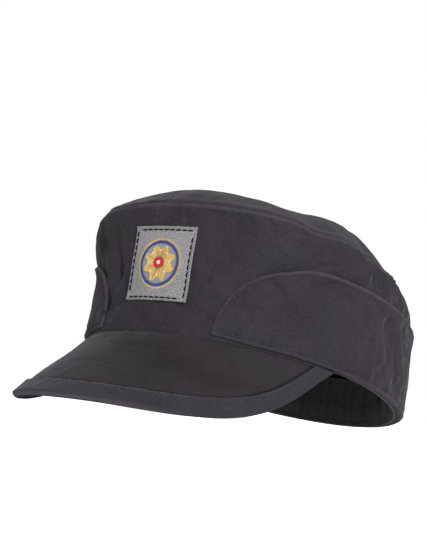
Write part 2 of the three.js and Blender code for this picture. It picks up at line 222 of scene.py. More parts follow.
# The top seam lies in a groove with a lip beside it, and the cloth puckers along it
SEAM_GROOVE = 0.0008
SEAM_WIDE = 0.0007
SEAM_LIP = 0.0002
SEAM_LIP_PLACE = 0.0018
SEAM_LIP_WIDE = 0.0010
SEAM_PUCKER_REACH = 0.007
BACK_SEAM_WIDE = 0.0012
ROW_GROOVE = 0.0003
ROW_WIDE = 0.0006
ROW_PUCKER_REACH = 0.006
PUCKER = 0.00013
# Long slow waves of the cloth, in metres, and how many are summed
WALL_DRIFT = 0.0008
DRIFT_COUNT = 9
# Short creases of wear: their height, how many are summed, their lengths, and how near a seam
# they fade
WAVE_HEIGHT = 0.00034
WAVE_COUNT = 26
WAVE_LENGTHS = (0.008, 0.022)
WAVE_FADE = 0.006


def drift(turn, up, seed):
    """Slow unevenness of hand-worn cloth, between -1 and 1, the same on every run."""
    shake = np.random.default_rng(seed)
    total = np.zeros(np.broadcast(turn, up).shape)
    for _ in range(DRIFT_COUNT):
        around = shake.integers(3, 19)
        rise = shake.uniform(-11, 11)
        total = total + np.sin(around * turn + rise * up + shake.uniform(0, 6.28))
    return total / DRIFT_COUNT


def worn_waves(across, along, seed):
    """Small creases that wear leaves in soft cloth, in metres, the same on every run."""
    shake = np.random.default_rng(seed)
    total = np.zeros(np.broadcast(across, along).shape)
    for _ in range(WAVE_COUNT):
        length = shake.uniform(*WAVE_LENGTHS)
        way = shake.uniform(0, 2 * np.pi)
        place = (across * np.cos(way) + along * np.sin(way)) * 2 * np.pi / length
        total = total + np.sin(place + shake.uniform(0, 2 * np.pi))
    total = total / math.sqrt(WAVE_COUNT / 2)
    # The sum's mean size is about 0.8, so the sharp ridges neither swell nor thin the cloth
    ridges = 0.8 - np.abs(total)
    return WAVE_HEIGHT * (0.6 * total + 0.7 * ridges)


def puckers(turn, away, seed, reach):
    """Small gathers that a row of stitches pulls into the cloth, fading with the distance away."""
    wave = np.sin(turn * 61 + 2.2 * np.sin(turn * 7 + seed) + 1.3 * np.sin(turn * 23 + seed))
    return wave * bell(away, reach)


def seam_relief(turn, away):
    """Groove, lip and puckers of the top seam, by the distance from it."""
    groove = SEAM_GROOVE * bell(away, SEAM_WIDE)
    lip = SEAM_LIP * bell(away - SEAM_LIP_PLACE, SEAM_LIP_WIDE)
    return lip - groove + PUCKER * puckers(turn, away, 1.0, SEAM_PUCKER_REACH)


def row_relief(turn, away, groove):
    """Groove and puckers of the rim's stitch row, by the distance from it."""
    return PUCKER * puckers(turn, away, 2.0, ROW_PUCKER_REACH) - groove * bell(away, ROW_WIDE)


def wall_relief(turn, up):
    """Creases, unevenness, seam grooves and stitch puckers of the side wall."""
    relief = -sum(furrow(row, turn, up, True) for row in CREASES)
    relief = relief + WALL_DRIFT * drift(turn, up, 3) * smooth_step(up, 0.02, 0.2)
    below_seam = (1 - up) * CROWN_HEIGHT
    waves = worn_waves(turn * MEAN_RADIUS, up * CROWN_HEIGHT, 21)
    relief = relief + waves * smooth_step(below_seam, 0, WAVE_FADE) * smooth_step(up, 0.02, 0.12)
    from_back = wrapped(turn - np.pi) * HALF_LENGTH
    relief = relief - SEAM_GROOVE * bell(from_back, BACK_SEAM_WIDE)
    relief = relief + seam_relief(turn, below_seam)
    return relief + row_relief(turn, up * CROWN_HEIGHT - RIM_STITCH, ROW_GROOVE)


def grid_faces(columns, rows, looped, first, flip):
    """Quads of a grid of points whose numbers start at first."""
    c = np.arange(columns if looped else columns - 1)[:, None]
    r = np.arange(rows - 1)[None, :]
    near = first + c * rows + r
    far = first + ((c + 1) % columns) * rows + r
    quads = np.stack([near, far, far + 1, near + 1], axis=-1).reshape(-1, 4)
    return quads[:, ::-1] if flip else quads


def shell_mesh(outer, inner, looped):
    """Points and quads of a closed cloth wall between two grids of points."""
    columns, rows = outer.shape[:2]
    count = columns * rows
    near = np.arange(columns if looped else columns - 1)
    after = (near + 1) % columns
    top_row = rows - 1
    edges = [(near * rows, after * rows, True), (near * rows + top_row, after * rows + top_row, False)]
    if not looped:
        row = np.arange(rows - 1)
        last = (columns - 1) * rows
        edges += [(row, row + 1, False), (last + row, last + row + 1, True)]
    parts = [
        grid_faces(columns, rows, looped, 0, False),
        grid_faces(columns, rows, looped, count, True),
    ]
    for start, end, flip in edges:
        quads = np.stack([start, end, end + count, start + count], axis=-1)
        parts.append(quads[:, ::-1] if flip else quads)
    points = np.concatenate([outer.reshape(-1, 3), inner.reshape(-1, 3)])
    return points, np.concatenate(parts).tolist()


def outer_wear_and_light(wear_and_light):
    """Wear and painted light of a closed cloth wall's points, which only its outer face has."""
    return np.concatenate([wear_and_light.ravel(), np.zeros(wear_and_light.size)])


# The threads' places are kept in millimetres
MILLIMETRES = 1000


def add_piece(name, points, faces, thread_map, wear_and_light=None):
    """A mesh object in the cap's place. thread_map gives each point's place along the cloth's
    threads in millimetres, and the last, how much its colour is paled by rubbed wear and painted
    highlights, from 0 to 1, or darkened as painted shade below 0."""
    place = np.array(cap_place)
    world = points @ place[:3, :3].T + place[:3, 3]
    mesh = bpy.data.meshes.new(name)
    mesh.from_pydata(world.tolist(), [], faces)
    mesh.shade_smooth()
    threads = mesh.attributes.new("threads", "FLOAT_VECTOR", "POINT")
    threads.data.foreach_set("vector", np.asarray(thread_map, dtype=np.float32).ravel())
    wear_and_painted_light = mesh.attributes.new("wear_and_painted_light", "FLOAT", "POINT")
    wear_and_light = np.zeros(len(points)) if wear_and_light is None else wear_and_light
    wear_and_painted_light.data.foreach_set("value", np.asarray(wear_and_light, dtype=np.float32).ravel())
    piece = bpy.data.objects.new(name, mesh)
    bpy.context.scene.collection.objects.link(piece)
    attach(piece, "root")
    return piece


def thread_grid(across, along, layer=0.0):
    """Place along the threads, in millimetres, of a grid's points, given in metres."""
    across, along = np.broadcast_arrays(across, along)
    flat = np.stack([across, along, np.full(across.shape, layer)], axis=-1)
    return (flat * MILLIMETRES).reshape(-1, 3)


def group_node(tree, kind, place, **values):
    """A shader node with its inputs and properties set by name."""
    node = tree.nodes.new(kind)
    node.location = place
    for key, value in values.items():
        if key in node.inputs:
            node.inputs[key].default_value = value
        else:
            setattr(node, key, value)
    return node


def maths(tree, operation, first, second, place):
    """A Math node fed by sockets or plain numbers, giving its output socket."""
    node = tree.nodes.new("ShaderNodeMath")
    node.operation = operation
    node.location = place
    for slot, source in enumerate((first, second)):
        if isinstance(source, (int, float)):
            node.inputs[slot].default_value = source
        elif source is not None:
            tree.links.new(source, node.inputs[slot])
    return node.outputs[0]


def new_group(name, inputs, outputs):
    """An empty shader node group with float inputs and named outputs."""
    tree = bpy.data.node_groups.new(name, "ShaderNodeTree")
    for label, value in inputs.items():
        socket = tree.interface.new_socket(label, in_out="INPUT", socket_type="NodeSocketFloat")
        socket.default_value = value
    for label in outputs:
        tree.interface.new_socket(label, in_out="OUTPUT", socket_type="NodeSocketFloat")
    source = group_node(tree, "NodeGroupInput", (-900, 0))
    sink = group_node(tree, "NodeGroupOutput", (900, 0))
    return tree, source, sink


def thread_noise(tree, threads, place, **values):
    """A noise texture laid along the cloth's threads, giving its output socket."""
    node = group_node(tree, "ShaderNodeTexNoise", place, **values)
    tree.links.new(threads.outputs["Vector"], node.inputs["Vector"])
    return node.outputs[0]


def twill_group():
    """Diagonal twill: fine yarns crossed by ribs at 45 degrees, with uneven slubs."""
    tree, source, sink = new_group("cotton_twill", {"Rib mm": 0.7}, ("Height", "Fleck"))
    threads = group_node(tree, "ShaderNodeAttribute", (-900, -200), attribute_name="threads")
    split = group_node(tree, "ShaderNodeSeparateXYZ", (-700, -200))
    tree.links.new(threads.outputs["Vector"], split.inputs[0])
    uneven = thread_noise(tree, threads, (-700, -450), Scale=0.9, Detail=3.0)
    slant = maths(tree, "ADD", split.outputs["X"], split.outputs["Y"], (-500, -150))
    slant = maths(tree, "ADD", slant, uneven, (-350, -150))
    turns = maths(tree, "DIVIDE", 2 * math.pi, source.outputs["Rib mm"], (-500, 50))
    rib_place = maths(tree, "MULTIPLY", slant, turns, (-200, 0))
    rib = maths(tree, "SINE", rib_place, None, (-50, 0))
    cross = maths(tree, "MULTIPLY", turns, 1.7, (-350, 150))
    yarn_place = maths(tree, "MULTIPLY", split.outputs["X"], cross, (-200, 150))
    yarn = maths(tree, "SINE", yarn_place, None, (-50, 150))
    grain = thread_noise(tree, threads, (-200, -350), Scale=0.8, Detail=5.0, Roughness=0.8)
    weave = maths(tree, "ADD", rib, maths(tree, "MULTIPLY", yarn, 0.4, (100, 150)), (250, 50))
    rough = maths(tree, "MULTIPLY", grain, 2.4, (250, -250))
    tree.links.new(maths(tree, "ADD", weave, rough, (450, 0)), sink.inputs["Height"])
    tree.links.new(grain, sink.inputs["Fleck"])
    return tree


def fading_and_light_group():
    """Wear and painted light: rubbed edges, painted highlights and painted shade, a slow mottle where the
    dye has faded, lint, and the cloth's crumple.
    """
    inputs = {"Rub and light": 0.5, "Mottle": 0.3, "Lint": 0.3}
    tree, source, sink = new_group("worn_dye_and_light", inputs, ("Fade", "Lint", "Cool", "Crumple"))
    threads = group_node(tree, "ShaderNodeAttribute", (-900, -200), attribute_name="threads")
    wear_and_painted_light = group_node(tree, "ShaderNodeAttribute", (-900, 200), attribute_name="wear_and_painted_light")
    fine = thread_noise(tree, threads, (-700, 350), Scale=1.4, Detail=3.0)
    broken = maths(tree, "MULTIPLY", wear_and_painted_light.outputs["Fac"], fine, (-450, 250))
    broken = maths(tree, "MULTIPLY", broken, 1.8, (-300, 250))
    rub_and_light = maths(tree, "MULTIPLY", broken, source.outputs["Rub and light"], (-150, 250))
    slow = thread_noise(tree, threads, (-700, -100), Scale=0.06, Detail=4.0, Roughness=0.6)
    centred = maths(tree, "SUBTRACT", slow, 0.5, (-450, -100))
    mottle = maths(tree, "MULTIPLY", centred, source.outputs["Mottle"], (-150, -100))
    tree.links.new(maths(tree, "ADD", rub_and_light, mottle, (150, 100)), sink.inputs["Fade"])
    patches = thread_noise(tree, threads, (-700, -750), Scale=0.035, Detail=1.0)
    cool = maths(tree, "SUBTRACT", patches, 0.38, (-450, -750))
    tree.links.new(maths(tree, "MULTIPLY", cool, 4.0, (-300, -750)), sink.inputs["Cool"])
    soft = {"Scale": 0.09, "Detail": 2.0, "Roughness": 0.45, "Distortion": 0.5}
    crumple = thread_noise(tree, threads, (-700, -1000), **soft)
    tree.links.new(crumple, sink.inputs["Crumple"])
    specks = group_node(tree, "ShaderNodeTexVoronoi", (-700, -450), Scale=0.16, Randomness=1.0)
    tree.links.new(threads.outputs["Vector"], specks.inputs["Vector"])
    near = maths(tree, "LESS_THAN", specks.outputs["Distance"], 0.035, (-450, -450))
    tree.links.new(maths(tree, "MULTIPLY", near, source.outputs["Lint"], (-150, -450)), sink.inputs["Lint"])
    return tree


TWILL = twill_group()
WORN_DYE_AND_LIGHT = fading_and_light_group()
# How much the yarns' flecks lighten and darken the dye
FLECK = 1.7
LINT_GREY = (0.30, 0.29, 0.30, 1.0)
SHEEN_TINT = (0.80, 0.76, 0.86, 1.0)


def cotton(name, colour, rib=0.7, ribbed=0.0, rub_and_light=0.8, mottle=0.6,
           relief=0.00006, sheen=0.10, lint=0.25, crumple=0.0024):
    """Dyed cotton twill: the weave in its bump, worn dye, painted highlights, painted shade and lint in its
    colour, a soft sheen.
    rib is in millimetres, ribbed shows the ribs in the colour, relief and crumple are in metres."""
    material = bpy.data.materials.new(name)
    material.use_nodes = True
    tree = material.node_tree
    surface = tree.nodes["Principled BSDF"]
    weave = group_node(tree, "ShaderNodeGroup", (-900, -200), node_tree=TWILL)
    weave.inputs["Rib mm"].default_value = rib
    worn_and_lit = group_node(tree, "ShaderNodeGroup", (-900, 200), node_tree=WORN_DYE_AND_LIGHT)
    for label, amount in (("Rub and light", rub_and_light), ("Mottle", mottle), ("Lint", lint)):
        worn_and_lit.inputs[label].default_value = amount
    flecked = maths(tree, "MULTIPLY", weave.outputs["Fleck"], FLECK, (-650, -50))
    bright = maths(tree, "ADD", worn_and_lit.outputs["Fade"], flecked, (-500, 100))
    bright = maths(tree, "ADD", bright, 1 - FLECK / 2, (-350, 100))
    if ribbed:
        grooves = maths(tree, "MULTIPLY", weave.outputs["Height"], ribbed, (-500, -250))
        bright = maths(tree, "ADD", bright, grooves, (-350, -50))
    tint = group_node(tree, "ShaderNodeMix", (-350, 350), data_type="RGBA")
    tint.inputs["A"].default_value = colour
    tint.inputs["B"].default_value = (colour[0] * 0.95, colour[1] * 1.01, colour[2], 1.0)
    tree.links.new(worn_and_lit.outputs["Cool"], tint.inputs["Factor"])
    dye = group_node(tree, "ShaderNodeMix", (-150, 150), data_type="RGBA", blend_type="MULTIPLY")
    dye.inputs["Factor"].default_value = 1.0
    tree.links.new(tint.outputs["Result"], dye.inputs["A"])
    tree.links.new(bright, dye.inputs["B"])
    linted = group_node(tree, "ShaderNodeMix", (50, 150), data_type="RGBA")
    linted.inputs["B"].default_value = LINT_GREY
    tree.links.new(worn_and_lit.outputs["Lint"], linted.inputs["Factor"])
    tree.links.new(dye.outputs["Result"], linted.inputs["A"])
    tree.links.new(linted.outputs["Result"], surface.inputs["Base Color"])
    rough = maths(tree, "MULTIPLY", weave.outputs["Fleck"], 0.12, (-350, -150))
    rough = maths(tree, "ADD", rough, 0.80, (-150, -150))
    tree.links.new(rough, surface.inputs["Roughness"])
    waves = group_node(tree, "ShaderNodeBump", (-150, -400), Strength=1.0, Distance=crumple)
    tree.links.new(worn_and_lit.outputs["Crumple"], waves.inputs["Height"])
    bump = group_node(tree, "ShaderNodeBump", (50, -250), Strength=0.55, Distance=relief)
    tree.links.new(weave.outputs["Height"], bump.inputs["Height"])
    tree.links.new(waves.outputs["Normal"], bump.inputs["Normal"])
    tree.links.new(bump.outputs["Normal"], surface.inputs["Normal"])
    surface.inputs["Specular IOR Level"].default_value = 0.12
    surface.inputs["Sheen Weight"].default_value = sheen
    surface.inputs["Sheen Roughness"].default_value = 0.35
    surface.inputs["Sheen Tint"].default_value = SHEEN_TINT
    return material


def spread(start, end, count, ends):
    """Numbers from start to end, both included, closer together towards both ends."""
    t = np.linspace(0, 1, count)
    eased = t - ends * np.sin(2 * np.pi * t) / (2 * np.pi)
    return start + (end - start) * eased


# Columns start at the back, where the wall's two halves are joined
round_turns = np.linspace(-np.pi, np.pi, WALL_COLUMNS, endpoint=False)
CLEARANCE = 0.0003
wall_up = spread(0.0, 1.0, WALL_ROWS, 0.7)
turn_grid, up_grid = np.meshgrid(round_turns, wall_up, indexing="ij")
tucked = smooth_step(np.cos(turn_grid), 0.25, 0.60)
wall_foot = (CLEARANCE - ROOT_TUCK * tucked) / CROWN_HEIGHT
up_grid = wall_foot + (1 - wall_foot) * up_grid
relief = wall_relief(turn_grid, up_grid)
wall_outer = crown_face(turn_grid, up_grid, relief)
# The inner face follows most of each crease, so that the cloth keeps its thickness
wall_inner = crown_face(turn_grid, up_grid, 0.8 * np.minimum(relief, 0) - CLOTH)
points, faces = shell_mesh(wall_outer, wall_inner, True)
wall_threads = thread_grid(turn_grid * MEAN_RADIUS, up_grid * CROWN_HEIGHT)
# Paler in a line just below the top seam, on the seam's lip: rubbed wear and a painted highlight
wall_wear_and_highlight = outer_wear_and_light(bell((1 - up_grid) * CROWN_HEIGHT - 0.0013, 0.0008))
crown_wall = add_piece("crown_wall_cloth", points, faces, np.tile(wall_threads, (2, 1)), wall_wear_and_highlight)
crown_cotton = cotton("crown_cotton", COTTON)
crown_wall.data.materials.append(crown_cotton)
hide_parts("crown_wall")

# The top panel
# A full oval of the same cotton, sewn to the wall along the top seam, which pulls it into a
# shallow groove. Worn soft, it swells in the middle and sinks behind the shoulders.
DOME_RISE = 0.0166
DOME_POWER = 5.6
HOLLOW_FADE = 6
TOP_RINGS = 60
# turn in degrees, place out from the middle, width as a share of half the rim's width, depth as
# a share of the dome's rise
TOP_HOLLOWS = (
    (41, 0.84, 0.17, 0.17),
    (2, 0.70, 0.30, -0.14),
    (70, 0.74, 0.28, -0.17),
    (-60, 0.80, 0.22, 0.20),
    (170, 0.62, 0.30, 0.16),
    (120, 0.70, 0.24, 0.14),
)
TOP_WEAR = 0.3
TOP_SWELL = 0.0007
TOP_DRIFT = 0.0005
middle_back = HALF_LENGTH * (section("back", 1.0) - section("front", 1.0)) / 2
top_middle = np.array([0, middle_back, CROWN_HEIGHT])


def top_face(turn, out):
    """Outer face of the top panel, out from its middle at 0 to its seam at 1."""
    one = np.ones(np.broadcast(turn, out).shape)
    seam = crown_form(turn * one, one)
    pressed = crown_face(turn * one, one) - seam
    out = (out * one)[..., None]
    point = top_middle + (seam - top_middle) * out + pressed * out**DOME_POWER
    point[..., 2] += DOME_RISE * (1 - out[..., 0] ** DOME_POWER)
    for spot_turn, spot_out, wide, deep in TOP_HOLLOWS:
        edge = crown_form(np.array(math.radians(spot_turn)), np.array(1.0))
        spot = top_middle + (edge - top_middle) * spot_out
        away = np.hypot(point[..., 0] - spot[0], point[..., 1] - spot[1]) / (wide * HALF_WIDTH)
        fade = np.minimum(1, (1 - out[..., 0]) * HOLLOW_FADE)
        point[..., 2] -= deep * DOME_RISE * np.exp(-(away**2)) * fade
    return point


def top_relief(turn, out, place):
    """Seam groove, puckers and unevenness of the top panel."""
    inside = (1 - out) * MEAN_RADIUS
    waves = worn_waves(place[..., 0], place[..., 1], 22) * smooth_step(inside, 0, WAVE_FADE)
    swell = np.sin(5 * turn + 4 * out) * np.sin(9 * out + 2) * out**2 * (1 - out**8)
    uneven = TOP_SWELL * swell + TOP_DRIFT * drift(turn, out, 8) * out**2
    return seam_relief(turn, inside) + TOP_WEAR * waves + uneven


# Rings lie closer together towards the seam, and the middle is closed by a fan of triangles
top_out = 1 - 0.999 * (1 - np.linspace(0, 1, TOP_RINGS)) ** 1.25
top_out[0] = 0.0
turn_grid, out_grid = np.meshgrid(round_turns, top_out[1:], indexing="ij")
top_normal = -normal_of(top_face, turn_grid, out_grid)
top_smooth = top_face(turn_grid, out_grid)
top_outer = top_smooth + top_normal * top_relief(turn_grid, out_grid, top_smooth)[..., None]
top_inner = top_smooth - top_normal * CLOTH
top_outer[:, -1] = wall_outer[:, -1]
top_inner[:, -1] = wall_inner[:, -1]
columns, rings = turn_grid.shape
points = np.concatenate([top_outer.reshape(-1, 3), top_inner.reshape(-1, 3)])
crest = top_face(np.array(0.0), np.array(0.0))
points = np.concatenate([points, [crest, crest - np.array([0, 0, CLOTH])]])
count = columns * rings
near = np.arange(columns)
after = (near + 1) % columns
seam_near = near * rings + rings - 1
seam_after = after * rings + rings - 1
faces = np.concatenate([
    grid_faces(columns, rings, True, 0, True),
    grid_faces(columns, rings, True, count, False),
    np.stack([seam_after + count, seam_near + count, seam_near, seam_after], axis=-1),
]).tolist()
crest_point = np.full(columns, 2 * count)
faces += np.stack([crest_point, near * rings, after * rings], axis=-1).tolist()
faces += np.stack([crest_point + 1, after * rings + count, near * rings + count], axis=-1).tolist()

top_threads = np.column_stack([points[:, :2], np.full(len(points), 0.04)]) * MILLIMETRES
# Paler in a line just inside the top seam: rubbed wear and a painted highlight
rub_and_light = bell((1 - out_grid) * MEAN_RADIUS - 0.0015, 0.0012)
top_wear_and_highlight = np.concatenate([outer_wear_and_light(rub_and_light), np.zeros(2)])
crown_top = add_piece("crown_top_cloth", points, faces, top_threads, top_wear_and_highlight)
crown_top.data.materials.append(crown_cotton)
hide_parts("crown_top")

# The curtain
# A band of doubled cotton sewn to the rim, which folds down over the ears and neck. It is worn
# folded up round the sides and back, with a rounded end at each temple and a topstitched edge.
CURTAIN_HEIGHT = 0.0466
CURTAIN_CLOTH = 0.0018
CURTAIN_EASE = 0.0005
CURTAIN_START = math.radians(22)
CURTAIN_SWEEP = math.radians(38)
CURTAIN_END = 0.008
CURTAIN_STITCH = 0.0024
CURTAIN_COLUMNS = 420
CURTAIN_ROWS = 64
# It stands outside the wall, so its run is this much longer than the rim's mean round
CURTAIN_RUN = MEAN_RADIUS * 1.08
# Its front ends stand a little off the rim, and thin and lift towards the temples
END_FOOT = 0.0016
END_FOOT_REACH = 0.025
END_SLIM_REACH = 0.03
CURTAIN_DRIFT = 0.0007
CURTAIN_PUCKER = 0.00012
CREASE_GAIN = 1.4

# Creases and ridges of the folded-up cloth, in the same columns as the folds
CURTAIN_CREASES = (
    (36, 0.58, 47, 0.29, 0.040, 0.012),
    (34, 0.50, 41, 0.33, 0.030, -0.008),
    (31, 0.60, 37, 0.52, 0.030, 0.010),
    (51, 0.50, 57, 0.67, 0.045, 0.013),
    (54, 0.46, 60, 0.62, 0.030, -0.008),
    (58, 0.56, 67, 0.28, 0.038, 0.011),
    (62, 0.58, 69, 0.36, 0.028, -0.007),
    (43, 0.16, 56, 0.22, 0.045, 0.007),
    (70, 0.20, 80, 0.44, 0.045, 0.008),
    (84, 0.60, 88, 0.34, 0.030, 0.010),
    (88, 0.64, 101, 0.20, 0.024, -0.015),
    (91, 0.62, 104, 0.22, 0.030, 0.015),
    (85, 0.50, 98, 0.07, 0.022, -0.012),
    (96, 0.66, 110, 0.42, 0.026, -0.011),
    (112, 0.60, 122, 0.24, 0.034, 0.012),
    (131, 0.62, 140, 0.30, 0.036, 0.013),
    (155, 0.50, 160, 0.16, 0.040, 0.010),
    (176, 0.66, 171, 0.28, 0.036, 0.012),
    (-162, 0.60, -168, 0.26, 0.036, 0.010),
    (-138, 0.62, -147, 0.24, 0.036, 0.013),
    (-112, 0.56, -122, 0.22, 0.036, 0.011),
    (-88, 0.62, -98, 0.20, 0.030, -0.010),
    (-75, 0.56, -90, 0.22, 0.038, 0.012),
    (-52, 0.50, -58, 0.26, 0.036, 0.010),
    (-38, 0.40, -45, 0.20, 0.034, 0.010),
)

# Creases leave at least this share of the cloth, which thins to END_CLOTH at its two front ends
THINNEST = 0.28
END_CLOTH = 0.5
EDGE_ROUND = 0.0017


def curtain_edge(turn):
    """Height of the curtain's edge, each end a quarter ellipse on a short upright."""
    from_front = np.abs(wrapped(turn))
    left = 1 - np.clip((from_front - CURTAIN_START) / CURTAIN_SWEEP, 0, 1)
    return CURTAIN_END + (CURTAIN_HEIGHT - CURTAIN_END) * np.sqrt(1 - left**2)


def edge_distance(turn, height):
    """Shortest way from a point of the curtain to its outline, in metres."""
    from_front = np.abs(wrapped(turn))
    outline_turns = np.linspace(CURTAIN_START, np.pi, 500)
    outline = np.stack([outline_turns * CURTAIN_RUN, curtain_edge(outline_turns)], axis=-1)
    upright_heights = np.linspace(0, CURTAIN_END, 20)
    upright = np.stack([np.full(20, CURTAIN_START * CURTAIN_RUN), upright_heights], axis=-1)
    outline = np.concatenate([upright, outline])
    place = np.stack([from_front.ravel() * CURTAIN_RUN, height.ravel()], axis=-1)
    best = np.full(len(place), 1.0)
    for spot in outline:
        best = np.minimum(best, np.hypot(place[:, 0] - spot[0], place[:, 1] - spot[1]))
    return best.reshape(turn.shape)


curtain_turns = spread(CURTAIN_START, 2 * np.pi - CURTAIN_START, CURTAIN_COLUMNS, 0.9)
rise = spread(0.0, 1.0, CURTAIN_ROWS, 0.8)
turn_grid, rise_grid = np.meshgrid(curtain_turns, rise, indexing="ij")
from_end = (np.abs(wrapped(turn_grid)) - CURTAIN_START) * MEAN_RADIUS
foot = CLEARANCE + END_FOOT * (1 - smooth_step(from_end, 0, END_FOOT_REACH))
height_grid = foot + (curtain_edge(turn_grid) - foot) * rise_grid
away = edge_distance(turn_grid, height_grid)
away = np.minimum(away, height_grid - foot + 0.0002)
slim = END_CLOTH + (1 - END_CLOTH) * smooth_step(from_end, 0, END_SLIM_REACH)
rounding = np.clip(1 - away / EDGE_ROUND, 0, 1)
thick = CURTAIN_CLOTH * slim * np.sqrt(np.clip(1 - rounding**2, 0.01, 1))
up_grid = height_grid / CROWN_HEIGHT
inside_edge = smooth_step(away, 0.0, CURTAIN_STITCH * 1.5)
relief = CURTAIN_DRIFT * drift(turn_grid, up_grid, 5) * smooth_step(height_grid, 0.002, 0.012)
relief = relief + worn_waves(turn_grid * MEAN_RADIUS, height_grid, 23) * inside_edge
creased = sum(furrow(row, turn_grid, up_grid, True) for row in CURTAIN_CREASES)
relief = relief - CREASE_GAIN * creased * inside_edge
# The topstitched row lies in a groove, with the turned edge swelling outside it
relief = relief - ROW_GROOVE * bell(away - CURTAIN_STITCH, ROW_WIDE)
relief = relief + 0.00025 * bell(away - CURTAIN_STITCH / 2, 0.0008)
relief = relief + CURTAIN_PUCKER * puckers(turn_grid * 1.3, away - CURTAIN_STITCH, 4.0, 0.005)
relief = relief + row_relief(turn_grid, height_grid - RIM_STITCH, 0.0002)
curtain_ease = CURTAIN_EASE * (1 - 0.8 * rounding)
curtain_lift = curtain_ease + np.maximum(thick + relief, THINNEST * thick)
curtain_outer = crown_face(turn_grid, up_grid, curtain_lift)
curtain_inner = crown_face(turn_grid, up_grid, curtain_ease)
points, faces = shell_mesh(curtain_outer, curtain_inner, False)
threads = thread_grid(turn_grid * MEAN_RADIUS, height_grid, 0.01)
# Paler along the curtain's rounded edge: rubbed wear and a painted highlight
wear_and_light = outer_wear_and_light(bell(away - 0.0004, 0.0009))
curtain = add_piece("curtain_cloth", points, faces, np.tile(threads, (2, 1)), wear_and_light)
curtain.data.materials.append(crown_cotton)
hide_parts("curtain")

# The peak
# A stiff board cut to a crescent, covered above and below in the same cotton drawn tight, and
# sewn into the rim. It bends round the brow, so it droops more towards its corners.
PEAK_REACH = 0.0732
PEAK_ANGLE = math.radians(65.5)
PEAK_DROOP = math.radians(40.1)
PEAK_SIDE_DROOP = math.radians(103)
PEAK_CURL = math.radians(10.7)
PEAK_FAN = 0.905
PEAK_FULL = 0.13
PEAK_SHAPE = 1.81
PEAK_ROUND = 1.26
PEAK_STOP = 0.975
PEAK_PLATE = 0.0020
PEAK_COLUMNS = 260
PEAK_ROWS = 48
# The plate's root goes this far in under the crown's edge
SEAM_TUCK = 0.0009
BINDING_WIDTH = 0.0115
BINDING_CLOTH = 0.0008
BINDING_EASE = 0.00015
# A soft hollow runs over the wearer's left half, from a share and a run to further ones
VALLEY_SHARE = 0.12
VALLEY_RUN = 0.28
VALLEY_SHARE_SPAN = 0.34
VALLEY_RUN_SPAN = 0.32
VALLEY_WIDE = 0.11
VALLEY_DEEP = 0.0018
# Darker than the crown's cotton though it is the same cloth: painted shade for the shade the crown throws
# over the peak
PEAK_SHADED_COTTON = (0.0295, 0.0242, 0.0290, 1.0)


def peak_reach(share):
    """How far the peak stands out from the seam, share from corner to corner."""
    fall = (1 - np.abs(share) ** PEAK_SHAPE) ** PEAK_ROUND
    return PEAK_REACH * fall * (1 + PEAK_FULL * share**2)


def peak_face(share, run):
    """Upper face of the peak, share from corner to corner and run out from the seam."""
    turn = share * PEAK_ANGLE
    droop = PEAK_DROOP + PEAK_SIDE_DROOP * (1 - np.cos(turn))
    reach = peak_reach(share)
    start = droop - PEAK_CURL / 2
    end = start + PEAK_CURL * run / reach
    forward = reach * (np.sin(end) - np.sin(start)) / PEAK_CURL
    fall = reach * (np.cos(start) - np.cos(end)) / PEAK_CURL
    heading = PEAK_FAN * turn
    root = crown_form(turn, np.zeros_like(turn))
    return root + np.stack([forward * np.sin(heading), -forward * np.cos(heading), -fall], axis=-1)


def peak_normal(share, run):
    """Upward unit normals of the peak."""
    return -normal_of(peak_face, share, run)


def peak_point(share, run, out):
    """A point over the peak's upper face, pushed out along its normal."""
    return peak_face(share, run) + peak_normal(share, run) * np.asarray(out)[..., None]


peak_shares = PEAK_STOP * np.sin(np.linspace(1, -1, PEAK_COLUMNS) * np.pi / 2)
run_share = spread(0.0, 1.0, PEAK_ROWS, 0.5)
share_grid, run_grid = np.meshgrid(peak_shares, run_share, indexing="ij")
plate_reach = peak_reach(share_grid) - BINDING_CLOTH - BINDING_EASE
run_metres = plate_reach * run_grid - SEAM_TUCK * (1 - run_grid) ** 4
from_edge = peak_reach(share_grid) - run_metres
sag = 0.0006 * np.sin(3.1 * share_grid + 0.8) * np.sin(np.pi * run_grid)
sag = sag + 0.0003 * np.sin(9 * share_grid + 5 * run_grid) * np.sin(np.pi * run_grid)
valley_x = share_grid - VALLEY_SHARE
valley_y = run_grid - VALLEY_RUN
along = valley_x * VALLEY_SHARE_SPAN + valley_y * VALLEY_RUN_SPAN
along = np.clip(along / (VALLEY_SHARE_SPAN**2 + VALLEY_RUN_SPAN**2), 0, 1)
valley = np.hypot(valley_x - VALLEY_SHARE_SPAN * along, valley_y - VALLEY_RUN_SPAN * along)
valley = bell(valley, VALLEY_WIDE)
sag = sag - VALLEY_DEEP * valley * smooth_step(run_grid, 0, 0.3)
inside_binding = from_edge - BINDING_WIDTH
tuck = -0.0009 * bell(inside_binding - 0.0004, 0.0011)
root_tuck = -0.0004 * bell(run_metres, 0.0012)
lift = (sag + tuck + root_tuck) * smooth_step(peak_reach(share_grid), 0.004, 0.02)
peak_outer = peak_point(share_grid, run_metres, lift)
peak_inner = peak_point(share_grid, run_metres, np.full(lift.shape, -PEAK_PLATE))
points, faces = shell_mesh(peak_outer, peak_inner, False)
threads = thread_grid(share_grid * PEAK_ANGLE * MEAN_RADIUS, run_metres, 0.02)
